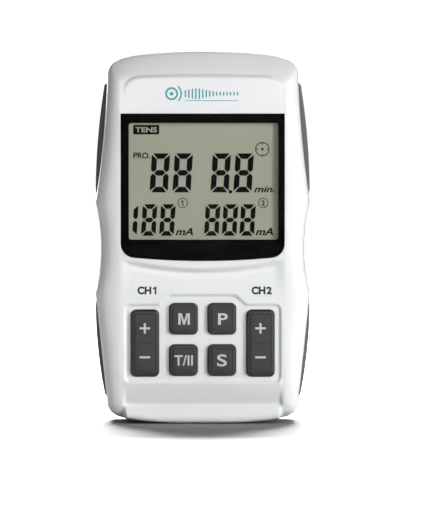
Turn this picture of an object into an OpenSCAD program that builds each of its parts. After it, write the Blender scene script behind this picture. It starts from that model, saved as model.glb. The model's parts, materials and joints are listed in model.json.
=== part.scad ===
// Two-channel handheld nerve stimulator, standing upright on its lower edge.
// X is the width, Y runs from the front face to the back, Z is the height.
// The origin is the middle of the small flat on the lower edge.

/* [Casing] */
// Height of the casing
case_h = 120.5; // [112:0.5:132]
// Width of the casing over its widest part
case_w = 69.5; // [66:0.5:80]
// Depth of the front half, from the display face to the parting line
front_d = 13.5; // [13:0.1:17]
// Depth of the rear half, from the parting line to the back
rear_d = 13.5; // [13.3:0.1:17]
// Wall thickness
wall = 2.2; // [1.8:0.1:2.4]
// How far the waist draws in on each side
waist_depth = 1.8; // [0.5:0.1:3]
// Thickness of the soft side grips
grip_t = 1.2; // [0.8:0.1:1.4]
// Width of the side grips, front to back
grip_w = 11; // [8:0.5:12]

/* [Display] */
// Width of the clear lens
lens_w = 53; // [48:0.5:54]
// Height of the clear lens at its sides
lens_h = 46.3; // [42:0.5:47]
// Thickness of the lens
lens_t = 1; // [0.8:0.1:1.1]
// Width of the visible part of the liquid crystal panel
view_w = 48.4; // [40:0.2:49]
// Height of the visible part
view_h = 37.8; // [30:0.2:38.4]

/* [Keys] */
// Width of the four small keys
key_w = 9; // [8:0.1:10]
// Height of the four small keys
key_h = 10; // [8:0.1:11]
// Width of the two rocker keys
rocker_w = 8.9; // [8:0.1:9.6]
// Height of the two rocker keys
rocker_h = 21; // [18:0.1:22]
// Gap between a key and its hole, on each side
key_gap = 0.2; // [0.15:0.05:0.3]
// How far a small key travels
key_travel = 0.6; // [0.3:0.1:0.7]
// How far a rocker tilts each way, in degrees
rocker_tilt = 3.5; // [2:0.5:4]

/* [Power] */
// Diameter of an AAA cell
cell_d = 10.3; // [10:0.1:10.5]
// Length of an AAA cell without its nub
cell_l = 43.7; // [43.3:0.1:43.7]
// Distance between neighbouring cells
cell_pitch = 10.8; // [10.6:0.1:11]
// Thickness of the battery door
door_t = 1.6; // [1.4:0.1:1.8]
// Radius of the door's hinge pins
door_pin_r = 0.6; // [0.5:0.05:0.65]

/* [Outputs] */
// Distance between the two output sockets
socket_pitch = 28; // [24:1:34]
// Radius of the bore that takes a lead's plug
socket_r = 1.27; // [1.2:0.01:1.35]
// Depth of that bore
socket_l = 11; // [9:0.5:12]

/* [Belt clip] */
// Width of the belt clip
clip_w = 18; // [16:1:26]
// Radius of the belt clip's pin
clip_pin_r = 1; // [0.8:0.1:1.2]
// Free space between the casing and the clip
clip_gap = 5.2; // [4.8:0.1:7]
// Radial clearance of every turning pin
pin_clear = 0.04; // [0.02:0.01:0.08]

/* [Hidden] */

case_white = "#eceeee";
grip_grey = "#4e5052";
key_grey = "#47484a";
fine = 48;

half_w = case_w / 2;
front_y = -front_d;
back_y = rear_d;
// the outline's corner points: side ends of the lower and upper corners
low_x = 26.5;
low_z = 1.6;
foot_w = 20;
corner_low_z = 8;
waist_low_z = 42.5;
waist_high_z = 72;
corner_high_z = case_h - 8.5;
top_z = case_h - 2;
shell_low_x = half_w - 3.65;
shell_high_x = half_w - 3.8;

// front relief
key_face_y = front_y + 1;
key_wall_back = front_y + 3.2;
step_mid_z = 49.8;
step_side_z = 53;
panel_x = 26.8;
lens_top_z = 100.6;
lens_low_z = lens_top_z - lens_h;
lens_bow = 1.4;
lens_r = 4.6;
lens_pocket_y = front_y + 0.2 + lens_t;
view_mid_z = 78.8;
view_r = 0.5;

// keys
key_x = 6.2;
upper_key_z = 34.2;
lower_key_z = 20.8;
rocker_x = 18.7;
rocker_z = 26.3;
key_front_y = front_y + 0.1;
key_r = 1.6;
flange_t = 1;
flange_lip = 0.8;
flange_y = key_wall_back + 0.1;
rocker_pivot_y = key_wall_back + 1.2;
rocker_pin_r = 0.5;
rocker_pill_z = 8;
rocker_pin_l = 1.5;
// tilting swings the cap's end outwards by its height over the pins
rocker_end_gap = key_gap + (rocker_pivot_y - key_front_y) * sin(rocker_tilt);
rib_t = 0.9;
rib_w = 3.6;
mat_y = -8.2;
mat_t = 0.6;
mat_w = 48;
mat_h = 29;
mat_foot_x = 12.6;
mat_foot_r = 0.8;
pill_r = 1.9;
pill_t = 0.5;

// board
pcb_front_y = -5;
pcb_t = 1.6;
pcb_back_y = pcb_front_y + pcb_t;
pcb_w = 54;
pcb_low_z = 10;
pcb_high_z = 112;
// twice the size of the corners cut away for the casing's posts
pcb_notch_high = [12, 16];
pcb_notch_low = [7, 14];
contact_t = 0.05;
pill_y = pcb_front_y - contact_t - key_travel - 0.1;

// liquid crystal stack
glass_w = 50.4;
glass_h = 42;
glass_y = front_y + 2.7;
glass_t = 1.1;
film_t = 0.1;
segments_y = glass_y + glass_t;
rear_glass_y = segments_y + film_t;
reflector_y = rear_glass_y + glass_t;
zebra_y = reflector_y + 0.2;
zebra_h = 2;
zebra_up_z = view_mid_z + glass_h / 2 - zebra_h / 2;
zebra_low_z = view_mid_z - glass_h / 2 + zebra_h / 2;

// battery bay and door
door_low_z = 9.5;
door_high_z = 66;
door_w = 46.6;
door_gap = 0.25;
door_r = door_t / 2;
door_y = back_y - door_r;
hinge_z = door_low_z + door_r;
hinge_block = 1.4;
hinge_x = door_w / 2 + door_gap + hinge_block / 2;
rib_pitch = 2.2;
rib_deep = 0.5;
bay_low_z = 11.5;
bay_high_z = 64;
bay_x = 22.4;
bay_wall = 1.2;
bay_floor_y = -0.4;
cell_y = bay_floor_y + bay_wall + cell_d / 2 + 0.1;
cell_mid_z = 38.4;
cell_low_z = cell_mid_z - cell_l / 2;
cell_high_z = cell_mid_z + cell_l / 2;
nub_l = 0.8;
nub_r = 1.9;

// output transformers, standing on the board
transformer_x = 19.6;
transformer_y = pcb_back_y + 4.7;
transformer_z = 86;

core_size = [12, 8, 12.6];
core_slot = [2, 9, 8.4];
core_slot_x = 3.7;
winding_size = [8.8, 9.4, 7.8];

// small parts on the back of the board
chip_w = 12;
chip_z = 85;
chip_pins = 11;
chip_pin_t = 0.4;
driver_size = [4, 5];
driver_z = 71;
driver_pins = 4;
driver_pitch = 1.27;
pin_reach = 0.6;
crystal_x = 11;
crystal_z = 88;
crystal_l = 6;
crystal_r = 1;
coil_at = [9.5, 72];
coil_r = 3.5;
coil_core_r = 2.6;
coil_h = 4;
coil_rim = 0.8;
large_capacitor = [-7.6, 72.5, 3.1, 6.2];
small_capacitor = [-14.2, 72.5, 2.5, 5.6];
resistor_size = [1.2, 0.5, 0.8];
resistor_x = 8.6;
resistor_z = 97;
resistor_pitch = 1.9;
buzzer_z = 102;
buzzer_r = 6;
buzzer_h = 6;

// fixings
boss_r = 2.4;
screw_r = 1;
boss_upper = [24, 107.5];
boss_lower = [26.8, 14];
board_screw_low = [22.6, 52];
board_screw_high = [19.6, 105.2];
board_post_r = 1.7;
board_screw_r = 0.7;
screw_head_r = 1.95;
screw_head_t = 1.4;
screw_l = 15;
board_head_r = 1.5;
board_screw_l = 6.2;

// battery wires: the red one's way from the bay to the board, and the black one's in mirror
wire_r = 0.6;
wire_x = 21.2;
red_route = [[-wire_x, 2, 62.9], [-wire_x, 0.4, 64.4], [-wire_x, -1, 66.5],
             [-20, -2, 68.5], [-19, -2.6, 71], [-18.8, -2.8, 74]];
black_route = [for (p = red_route) [-p[0], p[1], p[2]]];

// output sockets
socket_nose_z = case_h - 1.2;
socket_nose_r = 3;
socket_body_w = 7.8;
socket_body_z = 104;
sleeve_t = 0.3;
sleeve_l = 2.2;
sleeve_low_z = socket_nose_z - socket_l - 2.6;

// belt clip
clip_t = 2;
clip_inner_y = back_y + clip_gap;
clip_low_z = 70;
clip_high_z = 111;
clip_pivot_y = clip_inner_y - 2.5;
clip_pivot_z = 101;
clip_lug_r = 2.2;
// both legs leave the coil on its casing side, one down along the casing and one up to the lever
spring_wire_r = 0.25;
spring_coil_r = clip_pin_r + 0.7;
spring_turns = 5;
spring_steps = 12;
spring_w = 5;
ear_x = 5.2;
ear_t = 1.8;
lug_x = 7.3;
lug_t = 1.6;

// a bowed line from p to q: n steps, bulging by s to the right of the way it runs
function bow(p, q, s, n) =
  let (d = q - p, l = norm(d), u = [d[1], -d[0]] / l)
  [for (i = [0:n - 1]) let (t = i / n) p + d * t + u * s * 4 * t * (1 - t)];

// the same line with its end point
function bow_end(p, q, s, n) = concat(bow(p, q, s, n), [q]);

// right half of the casing's outline, from the foot to the top, drawn in by t
function right_side(t, lx, hx, low_s, high_s) = concat(
  bow([foot_w / 2, t], [low_x, low_z + t], 0.35, 4),
  bow([low_x, low_z + t], [lx - t, corner_low_z], 1.25 * (1 - t / 5), 5),
  bow([lx - t, corner_low_z], [half_w - t, waist_low_z], low_s, 5),
  bow([half_w - t, waist_low_z], [half_w - t, waist_high_z], -waist_depth, 10),
  bow([half_w - t, waist_high_z], [hx - t, corner_high_z], high_s, 5),
  bow([hx - t, corner_high_z], [panel_x, top_z - t], 1.25 * (1 - t / 5), 5),
  bow([panel_x, top_z - t], [0, case_h - t], 0.5, 4)
);

function mirrored(half) = [for (i = [len(half) - 1:-1:0]) [-half[i][0], half[i][1]]];

function shell_side(t) = right_side(t, shell_low_x, shell_high_x, 0.1, -0.55);

// a front outline, drawn in X and Z, given depth along Y from y0 to y1
module deep(y0, y1) {
  translate([0, y1, 0])
    rotate([90, 0, 0])
      linear_extrude(y1 - y0)
        children();
}

// a box from its low corner to its high corner
module block(a, b) {
  translate(a)
    cube(b - a);
}

// a round bar along X, Y or Z
module bar_x(r, x0, x1, y, z) {
  translate([x0, y, z])
    rotate([0, 90, 0])
      cylinder(r = r, h = x1 - x0, $fn = fine);
}

module bar_y(r, y0, y1, x, z) {
  translate([x, y1, z])
    rotate([90, 0, 0])
      cylinder(r = r, h = y1 - y0, $fn = fine);
}

module bar_z(r, z0, z1, x, y) {
  translate([x, y, z0])
    cylinder(r = r, h = z1 - z0, $fn = fine);
}

module round_box_2d(w, h, r) {
  square([w - 2 * r, h], center = true);
  square([w, h - 2 * r], center = true);
  for (sx = [-1, 1], sz = [-1, 1])
    translate([sx * (w / 2 - r), sz * (h / 2 - r)])
      circle(r, $fn = fine);
}

// the casing seen from the side: top and lower edges roll back to the rear
module side_profile(t) {
  rotate([90, 0, 90])
    linear_extrude(2 * case_w, center = true)
      polygon(concat(
        bow_end([front_y + t, case_h - 7.4], [front_y + 7.5, case_h - t], -0.9, 4),
        bow_end([back_y - 6, case_h - t], [back_y - t, case_h - 6.5], -1.6, 4),
        bow_end([back_y - t, 5.5], [back_y - 5, t], -1.4, 4),
        bow_end([front_y + 6, t], [front_y + t, 7.5], -1.4, 4)
      ));
}

// the casing seen from above: shoulders roll back from the front panel
module top_profile(t) {
  half = concat(
    bow_end([panel_x + 1.2 - t * 0.2, front_y + t], [half_w - t, front_y + 7.5], 1, 4),
    bow_end([half_w - t, back_y - 7], [half_w - 6 - t * 0.4, back_y - t], 1.6, 4)
  );
  translate([0, 0, -10])
    linear_extrude(case_h + 20)
      polygon(concat(half, mirrored(half)));
}

module casing_solid(t) {
  intersection() {
    deep(front_y - 1, back_y + 1)
      polygon(concat(shell_side(t), [[0, case_h - t]], mirrored(shell_side(t))));
    side_profile(t);
    top_profile(t);
  }
}

module grip_zone(side, t) {
  intersection() {
    deep(-grip_w / 2, grip_w / 2)
      difference() {
        polygon(concat(
          [[0, corner_low_z]],
          bow_end([half_w - 3.2, corner_low_z], [half_w, waist_low_z - 4], 0.8, 6),
          [[half_w - t, waist_low_z - 1.5]],
          bow([half_w - t, waist_low_z], [half_w - t, waist_high_z], -waist_depth, 10),
          [[half_w - t, waist_high_z + 1.5]],
          bow_end([half_w, waist_high_z + 4], [half_w - 3.1, corner_high_z - 1], 0.7, 6),
          [[0, corner_high_z - 1]]
        ) * side_matrix(side));
        polygon(concat([[0, 0]], shell_side(grip_t), [[0, case_h]]) * side_matrix(side));
      }
    block([-case_w, -grip_w, -1], [case_w, grip_w, case_h]);
  }
}

function side_matrix(side) = [[side, 0], [0, 1]];

module side_grip(side) {
  color(grip_grey)
    grip_zone(side, 0.4);
}

module left_side_grip() {
  side_grip(-1);
}

module right_side_grip() {
  side_grip(1);
}

module grip_recess(y0, y1) {
  for (side = [-1, 1])
    deep(y0, y1)
      difference() {
        translate([side > 0 ? 0 : -case_w, corner_low_z])
          square([case_w, corner_high_z - 1 - corner_low_z]);
        polygon(concat([[0, 0]], shell_side(grip_t), [[0, case_h]]) * side_matrix(side));
      }
}

// square upper corners, round lower ones and a bowed lower edge
module lens_outline(grow) {
  w = lens_w / 2 + grow;
  z = lens_low_z - grow;
  r = lens_r + grow;
  corner = [for (a = [0:15:75]) [-w + r * (1 - cos(a)), z + r * (1 - sin(a))]];
  polygon(concat(
    [[-w, lens_top_z + grow]],
    corner,
    bow_end([r - w, z], [w - r, z], lens_bow, 12),
    mirrored(corner),
    [[w, lens_top_z + grow]]
  ));
}

module view_outline() {
  translate([0, view_mid_z])
    round_box_2d(view_w, view_h, view_r);
}

module small_keys_2d(grow) {
  for (sx = [-1, 1], z = [upper_key_z, lower_key_z])
    translate([sx * key_x, z])
      round_box_2d(key_w + 2 * grow, key_h + 2 * grow, key_r);
}

module rockers_2d(grow_x, grow_z) {
  for (sx = [-1, 1])
    translate([sx * rocker_x, rocker_z])
      round_box_2d(rocker_w + 2 * grow_x, rocker_h + 2 * grow_z, key_r);
}

// ribs inside the front that carry the rockers' stub pins
module rocker_bearings() {
  for (sx = [-1, 1], side = [-1, 1]) {
    x = sx * rocker_x + side * (rocker_w / 2 + key_gap + 0.5 + rib_t / 2);
    block([x - rib_t / 2, key_wall_back - 0.2, rocker_z - rib_w / 2],
          [x + rib_t / 2, rocker_pivot_y + 1.4, rocker_z + rib_w / 2]);
  }
}

module rocker_bearing_holes() {
  for (sx = [-1, 1])
    bar_x(rocker_pin_r + pin_clear, sx * rocker_x - rocker_w, sx * rocker_x + rocker_w,
          rocker_pivot_y, rocker_z);
}

module front_cavity() {
  difference() {
    casing_solid(wall);
    block([-case_w, front_y - 1, -1], [case_w, key_wall_back, step_mid_z]);
  }
}

module front_shell() {
  color(case_white)
    difference() {
      union() {
        difference() {
          casing_solid(0);
          front_cavity();
          block([-case_w, 0, -1], [case_w, back_y + 1, case_h + 1]);
          grip_recess(-grip_w / 2, 1);
          deep(front_y - 1, key_face_y)
            polygon(concat(
              bow_end([-panel_x, step_side_z], [panel_x, step_side_z], step_side_z - step_mid_z, 14),
              [[panel_x, -1], [-panel_x, -1]]
            ));
          deep(front_y - 1, lens_pocket_y)
            lens_outline(0.1);
          deep(front_y - 1, 0)
            view_outline();
          deep(front_y - 1, -4) {
            small_keys_2d(key_gap);
            rockers_2d(key_gap, rocker_end_gap);
          }
        }
        for (sx = [-1, 1]) {
          bar_y(boss_r, front_y + wall - 0.2, 0, sx * boss_upper[0], boss_upper[1]);
          bar_y(boss_r, key_wall_back - 0.2, 0, sx * boss_lower[0], boss_lower[1]);
          for (p = [board_screw_low, board_screw_high])
            bar_y(board_post_r, front_y + wall - 0.2, pcb_front_y, sx * p[0], p[1]);
        }
        rocker_bearings();
      }
      rocker_bearing_holes();
      for (sx = [-1, 1]) {
        bar_y(screw_r, key_wall_back + 1.5, 1, sx * boss_upper[0], boss_upper[1]);
        bar_y(screw_r, key_wall_back + 1.5, 1, sx * boss_lower[0], boss_lower[1]);
        for (p = [board_screw_low, board_screw_high])
          bar_y(board_screw_r, pcb_front_y - 4, pcb_front_y + 1, sx * p[0], p[1]);
        bar_z(socket_nose_r + 0.1, case_h - 6, case_h + 1, sx * socket_pitch / 2, 0);
      }
    }
}

module door_outline(grow) {
  translate([0, (door_low_z + door_high_z) / 2])
    round_box_2d(door_w + 2 * grow, door_high_z - door_low_z + 2 * grow, 0.6);
}

module clip_ears() {
  for (side = [-1, 1]) {
    x = side > 0 ? ear_x : -ear_x - ear_t;
    bar_x(clip_lug_r, x, x + ear_t, clip_pivot_y, clip_pivot_z);
    block([x, back_y - 0.5, clip_pivot_z - clip_lug_r], [x + ear_t, clip_pivot_y, clip_pivot_z + clip_lug_r]);
  }
}

// the open box that holds the cells, with the rim that the door shuts against
module battery_bay() {
  rim_y = back_y - door_t - 0.2;
  difference() {
    union() {
      block([-bay_x - bay_wall, bay_floor_y, bay_low_z - bay_wall],
            [bay_x + bay_wall, rim_y, bay_high_z + bay_wall]);
      block([-bay_x - 2.6, rim_y - 1.4, bay_low_z - 2.8], [bay_x + 2.6, rim_y, bay_high_z + 3]);
    }
    block([-bay_x, bay_floor_y + bay_wall, bay_low_z], [bay_x, back_y, bay_high_z]);
  }
}

module rear_shell() {
  color(case_white)
    difference() {
      union() {
        difference() {
          casing_solid(0);
          casing_solid(wall);
          block([-case_w, front_y - 1, -1], [case_w, 0, case_h + 1]);
          grip_recess(-1, grip_w / 2);
          deep(back_y - 4, back_y + 1)
            door_outline(door_gap);
        }
        battery_bay();
        for (sx = [-1, 1], p = [boss_upper, boss_lower])
          bar_y(boss_r, 0.05, back_y - 1, sx * p[0], p[1]);
        for (side = [-1, 1])
          block([side * hinge_x - hinge_block / 2, back_y - 2.6, door_low_z - 1],
                [side * hinge_x + hinge_block / 2, back_y - 0.2, door_low_z + 2.2]);
        clip_ears();
      }
      for (sx = [-1, 1]) {
        for (p = [boss_upper, boss_lower]) {
          bar_y(screw_r + 0.2, -1, back_y + 1, sx * p[0], p[1]);
          bar_y(screw_head_r + 0.15, back_y - 2.4, back_y + 1, sx * p[0], p[1]);
        }
        bar_z(socket_nose_r + 0.1, case_h - 6, case_h + 1, sx * socket_pitch / 2, 0);
      }
      bar_x(door_pin_r + pin_clear, -door_w / 2 - 1.2, door_w / 2 + 1.2, door_y, hinge_z);
      bar_x(clip_pin_r, -ear_x - 3, ear_x + 3, clip_pivot_y, clip_pivot_z);
      // ways for the battery wires out of the bay
      for (sx = [-1, 1])
        block([sx * wire_x - 1.2, bay_floor_y - 1, bay_high_z - 3],
              [sx * wire_x + 1.2, bay_floor_y + 3, bay_high_z + 3]);
    }
}

module battery_door() {
  color(case_white) {
    difference() {
      union() {
        deep(back_y - door_t, back_y)
          translate([0, (hinge_z + door_high_z) / 2])
            square([door_w, door_high_z - hinge_z], center = true);
        bar_x(door_r, -door_w / 2, door_w / 2, door_y, hinge_z);
      }
      // thumb dimple with its grip ribs
      for (i = [0:2])
        block([-7, back_y - rib_deep, door_high_z - 5 - rib_pitch * i],
              [7, back_y + 1, door_high_z - 4 - rib_pitch * i]);
    }
    bar_x(door_pin_r, -door_w / 2 - 1, door_w / 2 + 1, door_y, hinge_z);
  }
}

module belt_clip() {
  color(case_white)
    difference() {
      union() {
        deep(clip_inner_y, clip_inner_y + clip_t)
          translate([0, (clip_low_z + clip_high_z) / 2])
            round_box_2d(clip_w, clip_high_z - clip_low_z, 3);
        block([-clip_w / 2 + 3, back_y + 0.6, clip_low_z],
              [clip_w / 2 - 3, clip_inner_y + 0.1, clip_low_z + 1.6]);
        for (side = [-1, 1]) {
          x = side > 0 ? lug_x : -lug_x - lug_t;
          bar_x(clip_lug_r, x, x + lug_t, clip_pivot_y, clip_pivot_z);
          block([x, clip_pivot_y, clip_pivot_z - clip_lug_r],
                [x + lug_t, clip_inner_y + 0.1, clip_pivot_z + clip_lug_r]);
        }
      }
      bar_x(clip_pin_r + pin_clear, -clip_w, clip_w, clip_pivot_y, clip_pivot_z);
      // thumb ribs
      for (i = [0:2])
        block([-6, clip_inner_y + clip_t - rib_deep, clip_high_z - 3.4 - rib_pitch * i],
              [6, clip_inner_y + clip_t + 1, clip_high_z - 2.4 - rib_pitch * i]);
    }
}

module clip_pin() {
  color("silver")
    bar_x(clip_pin_r, -lug_x - lug_t, lug_x + lug_t, clip_pivot_y, clip_pivot_z);
}

// a round wire with a given number of sides, swept along points; ref is a direction it never takes
function way(path, i) =
  let (a = path[max(i - 1, 0)], b = path[min(i + 1, len(path) - 1)], d = b - a)
  d / norm(d);
function across(d, ref) = let (u = cross(d, ref)) u / norm(u);

module wire(path, r, sides, ref) {
  n = len(path);
  rings = [for (i = [0:n - 1])
    let (d = way(path, i), u = across(d, ref), v = cross(d, u))
      for (k = [0:sides - 1])
        path[i] + r * (u * cos(360 * k / sides) + v * sin(360 * k / sides))];
  skin = [for (i = [0:n - 2], k = [0:sides - 1])
    let (a = i * sides + k, b = i * sides + (k + 1) % sides)
      [a, a + sides, b + sides, b]];
  ends = [[for (k = [0:sides - 1]) k], [for (k = [sides - 1:-1:0]) (n - 1) * sides + k]];
  polyhedron(rings, concat(skin, ends));
}

// the torsion spring's coil lies round the pin, with a leg on the casing and one on the clip
module clip_spring() {
  coil = [for (i = [0:spring_turns * spring_steps])
    let (t = i / (spring_turns * spring_steps), a = 180 - 360 * spring_turns * t)
      [spring_w * (t - 0.5), clip_pivot_y + spring_coil_r * cos(a), clip_pivot_z + spring_coil_r * sin(a)]];
  low = [-spring_w / 2, clip_pivot_y - spring_coil_r, clip_pivot_z];
  high = [spring_w / 2, clip_pivot_y - spring_coil_r, clip_pivot_z];
  drop = low.y - back_y - 0.4;
  leg_low = [low + [-0.2, -drop, -7], low + [-0.2, -0.65 * drop, -4], low + [-0.2, -0.15 * drop, -1.4]];
  leg_high = [high + [0.2, 0.3, 1.6], high + [0.2, 1.5, 3.8], high + [0.2, 3.4, 6.8]];
  color("silver")
    wire(concat(leg_low, [for (i = [1:len(coil) - 2]) coil[i]], leg_high), spring_wire_r, 6, [1, 0, 0]);
}

module display_lens() {
  color("white", 0.25)
    deep(front_y + 0.2, lens_pocket_y - film_t)
      lens_outline(0);
}

module lens_border() {
  color("black")
    deep(lens_pocket_y - film_t, lens_pocket_y)
      difference() {
        lens_outline(0);
        view_outline();
      }
}

module glass_plate(y, t, w, h) {
  deep(y, y + t)
    translate([0, view_mid_z])
      square([w, h], center = true);
}

module lcd_front_glass() {
  color("lightgray", 0.4)
    glass_plate(glass_y, glass_t, glass_w, glass_h);
}

module lcd_segments() {
  color("#9a9b8b")
    glass_plate(segments_y, film_t, glass_w, glass_h - 4);
}

module lcd_rear_glass() {
  color("lightgray", 0.4)
    glass_plate(rear_glass_y, glass_t, glass_w, glass_h);
}

module lcd_reflector() {
  color("#a5a694")
    glass_plate(reflector_y, 0.2, glass_w - 2, glass_h - 2 * zebra_h - 1);
}

module lcd_holder() {
  color("#d8d8d4")
    difference() {
      glass_plate(glass_y, pcb_front_y - glass_y, glass_w + 3, glass_h + 3);
      glass_plate(glass_y - 1, rear_glass_y + glass_t + 1 - glass_y, glass_w + 0.2, glass_h + 0.2);
      glass_plate(glass_y, 8, glass_w - 2, glass_h + 0.2);
    }
}

module zebra_strip(z) {
  color("#3b3b3f")
    block([-glass_w / 2 + 2, zebra_y - 0.2, z - zebra_h / 2], [glass_w / 2 - 2, pcb_front_y, z + zebra_h / 2]);
}

module zebra_strip_upper() {
  zebra_strip(zebra_up_z);
}

module zebra_strip_lower() {
  zebra_strip(zebra_low_z);
}

module keypad_mat() {
  color("#5c5e60")
    difference() {
      union() {
        deep(mat_y, mat_y + mat_t)
          translate([0, rocker_z])
            round_box_2d(mat_w, mat_h, 2);
        // feet that stand on the board
        for (sx = [-1, 1], sz = [-1, 1])
          bar_y(mat_foot_r, mat_y, pcb_front_y, sx * mat_foot_x, rocker_z + sz * (mat_h / 2 - 1.5));
      }
      for (sx = [-1, 1], z = [upper_key_z, lower_key_z])
        bar_y(pill_r + 1, mat_y - 1, mat_y + 2, sx * key_x, z);
      for (sx = [-1, 1], z = [rocker_z - rocker_pill_z, rocker_z + rocker_pill_z])
        bar_y(pill_r + 1, mat_y - 1, mat_y + 2, sx * rocker_x, z);
      // gaps round the rockers' bearings
      gap_x = rocker_w / 2 + key_gap + 1 + rib_t / 2;
      gap_z = rib_w / 2 + 0.5;
      for (sx = [-1, 1])
        block([sx * rocker_x - gap_x, mat_y - 1, rocker_z - gap_z],
              [sx * rocker_x + gap_x, mat_y + 2, rocker_z + gap_z]);
    }
}

module small_key(x, z) {
  color(key_grey)
    translate([x, 0, z]) {
      deep(key_front_y, flange_y + 0.1)
        round_box_2d(key_w, key_h, key_r);
      deep(flange_y, flange_y + flange_t)
        round_box_2d(key_w + 2 * flange_lip, key_h + 2 * flange_lip, key_r);
      bar_y(pill_r, flange_y + flange_t - 0.1, pill_y - pill_t, 0, 0);
    }
}

module mode_key() {
  small_key(-key_x, upper_key_z);
}

module program_key() {
  small_key(key_x, upper_key_z);
}

module timer_key() {
  small_key(-key_x, lower_key_z);
}

module set_key() {
  small_key(key_x, lower_key_z);
}

module rocker_key(x) {
  color(key_grey)
    translate([x, 0, rocker_z]) {
      deep(key_front_y, rocker_pivot_y + 0.1)
        round_box_2d(rocker_w, rocker_h, key_r);
      bar_x(rocker_pin_r, -rocker_w / 2 - rocker_pin_l, rocker_w / 2 + rocker_pin_l, rocker_pivot_y, 0);
      for (sz = [-1, 1])
        bar_y(pill_r, rocker_pivot_y - 0.1, pill_y - pill_t, 0, sz * rocker_pill_z);
    }
}

module ch1_key() {
  rocker_key(-rocker_x);
}

module ch2_key() {
  rocker_key(rocker_x);
}

module pill(x, z) {
  color("#202022")
    bar_y(pill_r - 0.1, pill_y - pill_t, pill_y, x, z);
}

module mode_pill() {
  pill(-key_x, upper_key_z);
}

module program_pill() {
  pill(key_x, upper_key_z);
}

module timer_pill() {
  pill(-key_x, lower_key_z);
}

module set_pill() {
  pill(key_x, lower_key_z);
}

module ch1_pills() {
  for (sz = [-1, 1])
    pill(-rocker_x, rocker_z + sz * rocker_pill_z);
}

module ch2_pills() {
  for (sz = [-1, 1])
    pill(rocker_x, rocker_z + sz * rocker_pill_z);
}

module main_pcb() {
  color("#1f6b43")
    difference() {
      deep(pcb_front_y, pcb_back_y)
        difference() {
          translate([-pcb_w / 2, pcb_low_z])
            square([pcb_w, pcb_high_z - pcb_low_z]);
          for (sx = [-1, 1]) {
            translate([sx * pcb_w / 2, pcb_high_z])
              square(pcb_notch_high, center = true);
            translate([sx * pcb_w / 2, pcb_low_z])
              square(pcb_notch_low, center = true);
          }
        }
      for (sx = [-1, 1], p = [board_screw_low, board_screw_high])
        bar_y(board_screw_r + 0.2, pcb_front_y - 1, pcb_back_y + 1, sx * p[0], p[1]);
    }
}

module key_contacts() {
  color("gold")
    for (sx = [-1, 1], z = [upper_key_z, lower_key_z, rocker_z - rocker_pill_z, rocker_z + rocker_pill_z])
      bar_y(pill_r, pcb_front_y - contact_t, pcb_front_y,
            sx * (z == upper_key_z || z == lower_key_z ? key_x : rocker_x), z);
}

module microcontroller() {
  edge = chip_w / 2 + pin_reach;
  color("#222226") {
    block([-chip_w / 2, pcb_back_y + 0.1, chip_z - chip_w / 2],
          [chip_w / 2, pcb_back_y + 1.5, chip_z + chip_w / 2]);
    for (side = [-1, 1], i = [0:chip_pins - 1]) {
      at = i - (chip_pins - 1) / 2 - chip_pin_t / 2;
      block([side * edge - pin_reach, pcb_back_y, chip_z + at],
            [side * edge + pin_reach, pcb_back_y + chip_pin_t, chip_z + at + chip_pin_t]);
      block([at, pcb_back_y, chip_z + side * edge - pin_reach],
            [at + chip_pin_t, pcb_back_y + chip_pin_t, chip_z + side * edge + pin_reach]);
    }
  }
}

module driver_chip() {
  color("#222226") {
    block([-driver_size[0] / 2, pcb_back_y + 0.1, driver_z - driver_size[1] / 2],
          [driver_size[0] / 2, pcb_back_y + 1.6, driver_z + driver_size[1] / 2]);
    for (side = [-1, 1], i = [0:driver_pins - 1]) {
      x = side * (driver_size[0] / 2 + 0.4);
      z = driver_z + (i - (driver_pins - 1) / 2) * driver_pitch;
      block([x - pin_reach, pcb_back_y, z - chip_pin_t / 2],
            [x + pin_reach, pcb_back_y + chip_pin_t, z + chip_pin_t / 2]);
    }
  }
}

module crystal() {
  color("silver") {
    bar_z(crystal_r, crystal_z, crystal_z + crystal_l, crystal_x, pcb_back_y + crystal_r);
    for (side = [-1, 1])
      bar_z(0.2, crystal_z - 2, crystal_z, crystal_x + side * 0.4, pcb_back_y + crystal_r - 0.2);
  }
}

module boost_coil() {
  color("#33302c") {
    for (y = [0, coil_h - coil_rim])
      bar_y(coil_r, pcb_back_y + y, pcb_back_y + y + coil_rim, coil_at[0], coil_at[1]);
    bar_y(coil_core_r, pcb_back_y + coil_rim - 0.1, pcb_back_y + coil_h - coil_rim + 0.1,
          coil_at[0], coil_at[1]);
  }
}

module capacitors() {
  color("#3c4250")
    for (c = [large_capacitor, small_capacitor])
      bar_y(c[2], pcb_back_y, pcb_back_y + c[3], c[0], c[1]);
}

// two rows of resistors
module chip_parts() {
  color("#6b5a44")
    for (side = [-1, 1], i = [0:5])
      translate([side * resistor_x - resistor_size[0] / 2, pcb_back_y, resistor_z + resistor_pitch * i])
        cube(resistor_size);
}

module transformer_core(side) {
  color("#4a4642")
    translate([side * transformer_x, transformer_y, transformer_z])
      difference() {
        cube(core_size, center = true);
        for (s = [-1, 1])
          translate([s * core_slot_x, 0, 0])
            cube(core_slot, center = true);
      }
}

module transformer_winding(side) {
  limb = [2 * core_slot_x - core_slot[0] + 0.04, core_size[1] + 0.04, winding_size[2] + 1];
  color("#c9952c")
    translate([side * transformer_x, transformer_y, transformer_z])
      difference() {
        cube(winding_size, center = true);
        cube(limb, center = true);
      }
}

module transformer_core_1() {
  transformer_core(-1);
}

module transformer_core_2() {
  transformer_core(1);
}

module transformer_winding_1() {
  transformer_winding(-1);
}

module transformer_winding_2() {
  transformer_winding(1);
}

module buzzer() {
  color("#26262a")
    difference() {
      bar_y(buzzer_r, pcb_back_y, pcb_back_y + buzzer_h, 0, buzzer_z);
      bar_y(1, pcb_back_y + buzzer_h - 2, pcb_back_y + buzzer_h + 1, 0, buzzer_z);
    }
}

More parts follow.
